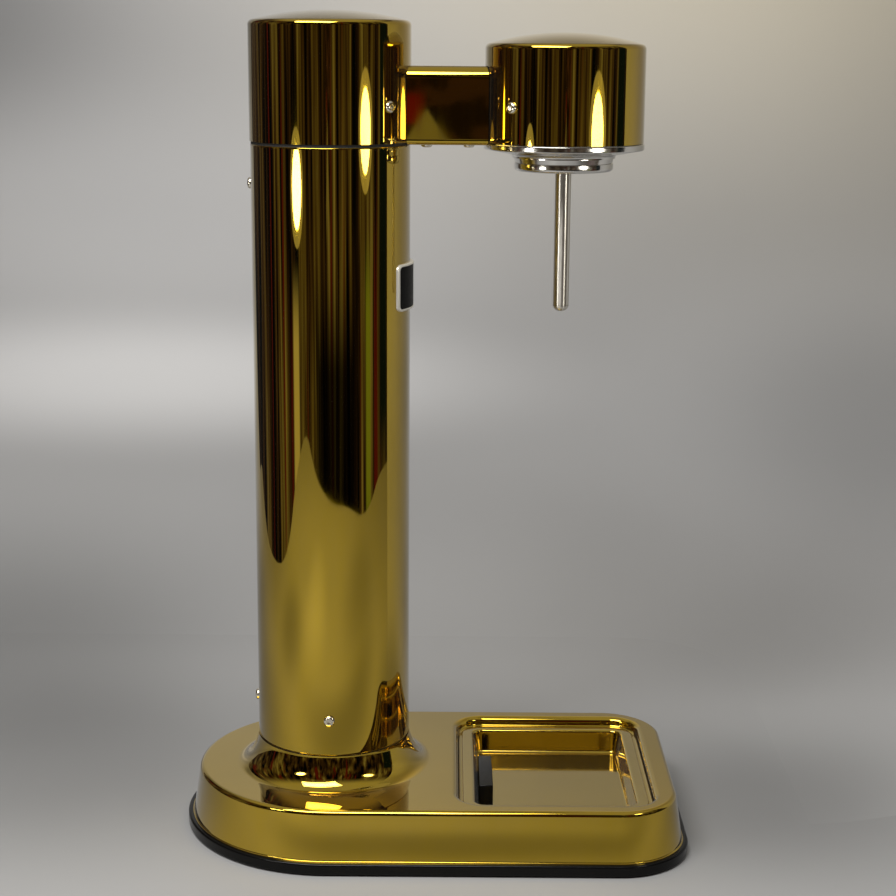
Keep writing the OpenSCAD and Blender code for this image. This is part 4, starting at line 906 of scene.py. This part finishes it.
def outside_screws():
    def on_wall(x, radius, angle, z):
        a = radians(angle)
        return ((x + radius * cos(a), radius * sin(a), z), (cos(a), sin(a), 0))

    low, high = extent("column_screws")
    column = [on_wall(COLUMN_X, TUBE_RADIUS, a, low.z + SCREW_HEAD) for a in (90, 180, 270)]
    column.append(on_wall(COLUMN_X, TUBE_RADIUS, 180, high.z - SCREW_HEAD))
    low, high = extent("cap_screws")
    side_z = (low.z + high.z) / 2
    cap = [on_wall(COLUMN_X, CAP_RADIUS, a, side_z) for a in (-41, 41)]
    head = [on_wall(HEAD_X, HEAD_RADIUS, a, side_z) for a in (-133, 133)]
    low, high = extent("arm_screws")
    arm = [((x, 0, ARM_LOW.z), (0, 0, -1)) for x in (low.x + SCREW_HEAD, high.x - SCREW_HEAD)]
    tree, screw = screw_tree(), button_screw()
    set_screws(tree, screw, "tube_screws", "column_screws", column, 3)
    set_screws(tree, screw, "drum_screws", "cap_screws", cap, 5)
    set_screws(tree, screw, "head_drum_screws", "head_screws", head, 8)
    set_screws(tree, screw, "sleeve_screws", "arm_screws", arm, 13)
    bpy.data.objects.remove(screw)


IMAGE = 896
FOCAL_PIXELS = 1836.55
CAMERA_PLACE = (6.01, -907.76, 399.57)
CAMERA_DOWN = radians(12.494)
CAMERA_ROLL = radians(0.4156)


def camera():
    data = bpy.data.cameras.new("camera")
    data.sensor_width = 36.0
    data.lens = FOCAL_PIXELS * data.sensor_width / IMAGE
    data.clip_start, data.clip_end = 0.01, 50
    eye = linked("camera", data)
    tilt = Matrix.Rotation(pi / 2 - CAMERA_DOWN, 4, "X") @ Matrix.Rotation(CAMERA_ROLL, 4, "Z")
    eye.matrix_world = Matrix.Translation(Vector(CAMERA_PLACE) * MM) @ tilt
    scene.camera = eye


PALE = (0.36, 0.36, 0.35)
PAPER_TONE = 0.46
# Soft pools on the paper, in metres: middle, reach each way, and how much lighter or darker
POOLS = {
    "glow on the wall": ((0.07, 0.56, 0.50), (0.52, 0.50, 0.34), 0.41),
    "glow lower down": ((-0.22, 0.56, 0.26), (0.48, 0.50, 0.17), 0.23),
    "light along the sweep": ((-0.24, 0.53, 0.138), (0.44, 0.30, 0.072), 0.35),
    "shade on the sweep": ((0.35, 0.47, 0.12), (0.25, 0.30, 0.13), -0.12),
    "shade on the wall": ((-0.46, 0.56, 0.42), (0.30, 0.50, 0.17), -0.16),
    "light by the wall's near end": ((0.46, 0.08, 0.26), (0.10, 0.30, 0.32), 0.16),
    "light behind the base": ((0.02, 0.30, 0.00), (0.28, 0.24, 0.10), 0.10),
    "shade far left": ((-0.32, 0.28, 0.00), (0.32, 0.28, 0.12), -0.18),
    "shade left of the base": ((-0.21, 0.07, 0.00), (0.24, 0.22, 0.10), -0.19),
    "shade right of the base": ((0.17, 0.02, 0.00), (0.19, 0.18, 0.05), -0.20),
    "shade before the base": ((0.01, -0.19, 0.00), (0.34, 0.12, 0.10), -0.22),
    "shade at the table's left": ((-0.66, 0.05, 0.00), (0.45, 0.50, 0.10), -0.12),
    "light at the front": ((-0.21, -0.42, 0.00), (0.17, 0.24, 0.10), 0.14),
    "shade front left": ((-0.38, -0.20, 0.00), (0.17, 0.20, 0.10), -0.18),
    "shade front right": ((0.24, -0.34, 0.00), (0.32, 0.24, 0.10), -0.14),
}
# Painted warm light: a soft pool, in metres, where the paper's colour is tinted warm as if warm light fell on
# the upper right of the wall
WARM_LIGHT_PLACE, WARM_LIGHT_REACH = (0.34, 0.56, 0.58), (0.80, 0.9, 0.54)
COOL_TINT, WARM_LIGHT_TINT = (0.98, 0.99, 1.01), (1.0, 0.925, 0.74)


def far_floor():
    """Plain floor past the table, which stays pale to the camera where no lamp reaches it."""
    finish = Finish("floor_beyond", Roughness=0.7, Specular_IOR_Level=0.2, Emission_Color=PALE)
    finish.into(finish.mixed(finish.grain(1.7, 2), (0.45, 0.45, 0.44), (0.47, 0.47, 0.46)), "Base Color")
    seen = finish.node("LightPath").outputs["Is Camera Ray"]
    glow = finish.ramp(finish.vectors("LENGTH", finish.place), 0, 0.9, 0.6, 2.0)
    finish.into(finish.maths("MULTIPLY", glow, seen), "Emission Strength")
    return finish.material


def paper():
    """Pale grey paper with soft pools of light and shade, clear from behind so that it hides nothing."""
    finish = Finish("backdrop_paper", Roughness=0.6, Specular_IOR_Level=0.3)
    tone = finish.ramp(finish.grain(1.7, 2), PAPER_TONE - 0.012, PAPER_TONE + 0.012)
    for place, reach, change in POOLS.values():
        tone = finish.maths("ADD", tone, finish.maths("MULTIPLY", finish.pool(place, reach), change))
    # painted warm light tints the paper in its pool, and the rest keeps the cool tint
    tint = finish.mixed(finish.pool(WARM_LIGHT_PLACE, WARM_LIGHT_REACH), COOL_TINT, WARM_LIGHT_TINT)
    tinted = finish.node("VectorMath", {0: tint, "Scale": tone}, operation="SCALE")
    finish.into(tinted.outputs["Vector"], "Base Color")
    behind = finish.node("NewGeometry").outputs["Backfacing"]
    clear = finish.node("BsdfTransparent").outputs["BSDF"]
    either = finish.node("MixShader", {"Fac": behind, 1: finish.shader.outputs["BSDF"], 2: clear})
    finish.put(either.outputs["Shader"], finish.tree.nodes["Material Output"].inputs["Surface"])
    return finish.material


# Outline of the table's front, and the wall's places, in metres
TABLE_EDGE = [(0.85, 0.60), (0.85, -0.17), (0.50, -0.43), (0.27, -0.68), (-0.05, -0.76), (-0.36, -0.80),
              (-0.66, -0.90), (-0.72, -0.55), (-0.56, -0.24), (-0.60, 0.05), (-0.64, 0.24), (-0.86, 0.60)]
TABLE_MIDDLE = (0.0, 0.1)
WALL_RIGHT, WALL_BACK, WALL_LEFT, WALL_FRONT, WALL_TOP = 0.46, 0.56, -0.57, -0.01, 0.90
WALL_TURN = 0.34
SWEEP = 0.27
FAR = 4.0


def sheet(name, rows, material):
    """A stage surface through rows of points, facing the way that its rows and points turn."""
    mesh = bmesh.new()
    lines = [[mesh.verts.new(point) for point in row] for row in rows]
    for low, high in zip(lines, lines[1:]):
        for i in range(len(low) - 1):
            mesh.faces.new((low[i], low[i + 1], high[i + 1], high[i]))
    data = bpy.data.meshes.new(name)
    mesh.to_mesh(data)
    mesh.free()
    data.polygons.foreach_set("use_smooth", [True] * len(data.polygons))
    data.materials.append(material)
    stage = linked(name, data)
    return stage


def rounded(points, times=3):
    """A closed outline with its corners cut again and again."""
    for _ in range(times):
        pairs = [(a, b, t) for a, b in zip(points, points[1:] + points[:1]) for t in (0.25, 0.75)]
        points = [(ax + (bx - ax) * t, ay + (by - ay) * t) for (ax, ay), (bx, by), t in pairs]
    return points


def backdrop():
    """A paper-covered table, and paper that sweeps up behind the machine and on its right."""
    material = paper()
    mx, my = TABLE_MIDDLE
    edge = rounded(TABLE_EDGE)
    rims = [[(mx + (x - mx) * t, my + (y - my) * t, 0) for x, y in edge + edge[:1]]
            for t in (0.001, 0.5, 1.0)]
    sheet("floor_table", rims, material)
    ground = [[(x, y, -0.0006) for x in (-FAR, FAR)] for y in (-FAR, FAR)]
    beyond = sheet("floor_beyond", ground, far_floor())
    for kind in ("visible_glossy", "visible_diffuse", "visible_transmission", "visible_shadow"):
        setattr(beyond, kind, False)
    turn_x, turn_y = WALL_RIGHT - WALL_TURN, WALL_BACK - WALL_TURN
    plan = [(WALL_LEFT + (turn_x - WALL_LEFT) * i / 12, WALL_BACK, 0, 1) for i in range(12)]
    plan += facing_arc(turn_x, turn_y, WALL_TURN, 90, 0, 18) + [(WALL_RIGHT, WALL_FRONT, 1, 0)]
    curve = [radians(a) for a in range(6, 91, 6)]
    rise = [(SWEEP * (1 - sin(a)), SWEEP * (1 - cos(a))) for a in curve]
    wall = [[(x - nx * back, y - ny * back, z) for x, y, nx, ny in plan]
            for back, z in [(SWEEP, -0.0005), *rise, (0, WALL_TOP)]]
    sheet("backdrop_wall", wall, material)


class Room(Nodes):
    """World nodes: what stands round the machine far off, by bearing from the camera's side and by height."""

    def __init__(self):
        scene.world = bpy.data.worlds.new("room")
        scene.world.use_nodes = True
        super().__init__(scene.world.node_tree)
        direction = self.node("TexCoord").outputs["Generated"]
        x, y, z = self.node("SeparateXYZ", {"Vector": direction}).outputs
        self.bearing = self.maths("ARCTAN2", x, self.maths("MULTIPLY", y, -1.0))
        self.height = self.maths("ARCSINE", z)

    def step(self, value, start, end, low=0.0, high=1.0):
        """Runs smoothly from low to high as value goes from start to end, in degrees."""
        return self.ramp(value, low, high, radians(start), radians(end), "SMOOTHSTEP")

    def away(self, bearing):
        return self.maths("ABSOLUTE", self.maths("SUBTRACT", self.bearing, radians(bearing)))

    def patch(self, bearing, half, soft, low, high):
        """1 inside half of a bearing and between two heights, falling to 0 over soft, all in degrees."""
        across = self.step(self.away(bearing), half, half + soft, 1, 0)
        above = self.step(self.height, low - soft / 2, low + soft / 2)
        below = self.step(self.height, high - soft / 2, high + soft / 2, 1, 0)
        return self.maths("MULTIPLY", self.maths("MULTIPLY", across, above), below)

    def shapes(self, across, upwards, detail, shift=0.0):
        """Noise with so many shapes to a radian across and upwards."""
        sides = {"X": self.maths("MULTIPLY", self.bearing, across),
                 "Y": self.maths("MULTIPLY", self.height, upwards), "Z": shift}
        return self.noise(self.node("CombineXYZ", sides).outputs["Vector"], 1.0, detail, 0.62)

    def shades(self, value, *stops, sharp=False):
        shade = self.node("ValToRGB", {"Fac": value})
        shade.color_ramp.interpolation = "CONSTANT" if sharp else "LINEAR"
        elements = shade.color_ramp.elements
        while len(elements) < len(stops):
            elements.new(0.5)
        for element, (at, colour) in zip(elements, stops):
            element.position = at
            element.color = (*colour, 1)
        return shade.outputs["Color"]


def room():
    """A dim room with a pale ceiling; the camera itself sees plain pale grey past the paper."""
    room = Room()
    black, brown, tan_wood = (0.001, 0.001, 0.001), (0.040, 0.024, 0.015), (0.095, 0.078, 0.050)
    grey, maroon, deep_green = (0.22, 0.21, 0.18), (0.085, 0.010, 0.008), (0.004, 0.008, 0.009)
    pale_grey, leaf_green, ceiling = (0.48, 0.46, 0.42), (0.18, 0.25, 0.05), (0.40, 0.385, 0.35)
    broad = room.ramp(room.shapes(2.6, 1.4, 2, 3.0), 0.25, 1.0, 0.40, 0.60, "SMOOTHSTEP")
    fine = room.ramp(room.shapes(10.0, 2.4, 5), 0.0, 1.0, 0.30, 0.75, "SMOOTHSTEP")
    streaks = room.shades(room.maths("MULTIPLY", broad, fine),
                          (0.08, black), (0.24, brown), (0.48, tan_wood), (0.80, grey))
    reds = room.ramp(room.shapes(7.0, 1.0, 2, 9.0), 0.0, 1.0, 0.60, 0.66, "SMOOTHSTEP")
    streaks = room.mixed(reds, streaks, maroon)
    streaks = room.mixed(room.patch(84, 5, 3, -12.5, 20), streaks, deep_green)
    low_dark = room.step(room.height, -10.5, -6, 0.08, 1.0)
    low_dark = room.maths("MAXIMUM", low_dark, room.step(room.away(10), 22, 36))
    streaks = room.mixed(1.0, streaks, room.mixed(low_dark, (0, 0, 0), (1, 1, 1)), "MULTIPLY")
    streaks = room.mixed(room.patch(-49, 3.0, 3, -17, -8), streaks, pale_grey)
    streaks = room.mixed(room.patch(58, 2.2, 3, -15, -7), streaks, leaf_green)

    umber, rust, copper = (0.010, 0.006, 0.003), (0.034, 0.017, 0.014), (0.075, 0.034, 0.022)
    red, beige = (0.13, 0.007, 0.005), (0.20, 0.19, 0.16)
    clutter = room.shades(room.shapes(30.0, 62.0, 2, 5.0),
                          (0.30, umber), (0.47, rust), (0.62, copper), sharp=True)
    clutter = room.mixed(room.patch(-1.15, 0.28, 0.08, -2.5, -1.55), clutter, red)
    slope = room.maths("MULTIPLY", room.away(-0.72), 1.5)
    wedge = room.step(room.maths("ADD", room.height, slope), -2.06, -1.98, 1, 0)
    clutter = room.mixed(wedge, clutter, beige)

    walls = room.mixed(room.patch(0, 2.5, 2, -5.5, 1), streaks, clutter)
    whole = room.mixed(room.step(room.height, 37, 58), walls, ceiling)
    seen = room.node("LightPath").outputs["Is Camera Ray"]
    room.put(room.mixed(seen, whole, PALE), room.tree.nodes["Background"].inputs["Color"])


def lamp(name, place, target, size, power, colour, shape="RECTANGLE"):
    data = bpy.data.lights.new(name, "AREA")
    data.shape = shape
    data.size, data.size_y = size
    data.energy = power
    data.color = colour
    light = linked(name, data)
    light.location = place
    light.rotation_euler = (Vector(target) - Vector(place)).to_track_quat("-Z", "Y").to_euler()
    light.visible_camera = False


def studio():
    camera()
    backdrop()
    room()
    machine, column_face = (0, 0, 0.2), (-0.04, -0.04, 0.33)
    daylight = (1.0, 0.985, 0.96)
    lamp("key", (-0.26, -0.56, 0.98), machine, (0.74, 0.40), 7.2, daylight)
    lamp("key_core", (-0.26, -0.56, 0.981), machine, (0.64, 0.20), 2.4, daylight)
    for name, place, power, tone in (("left", (-0.43, -0.39, 0.292), 0.34, (1.0, 0.97, 0.90)),
                                     ("right", (0.342, -0.306, 0.336), 0.22, (1.0, 0.96, 0.88))):
        lamp(name + "_lamp", place, column_face, (0.125, 0.062), power, tone, "ELLIPSE")
        lamp(name + "_glow", place, column_face, (0.18, 0.090), 0.016, tone, "ELLIPSE")
    scene.view_settings.view_transform = "Standard"


base_shell()
base_plate()
feet()
column_tube()
column_cap()
cap_gasket()
arm_shell()
head_shell()
head_plate()
bottle_collar()
nozzle()
spring("pin_return_spring", "pin_spring", COLUMN_X)
spring("relief_valve_spring", "relief_spring", HEAD_X)
badge()
drip_tray()
tray_block()
lever()
outside_screws()
studio()
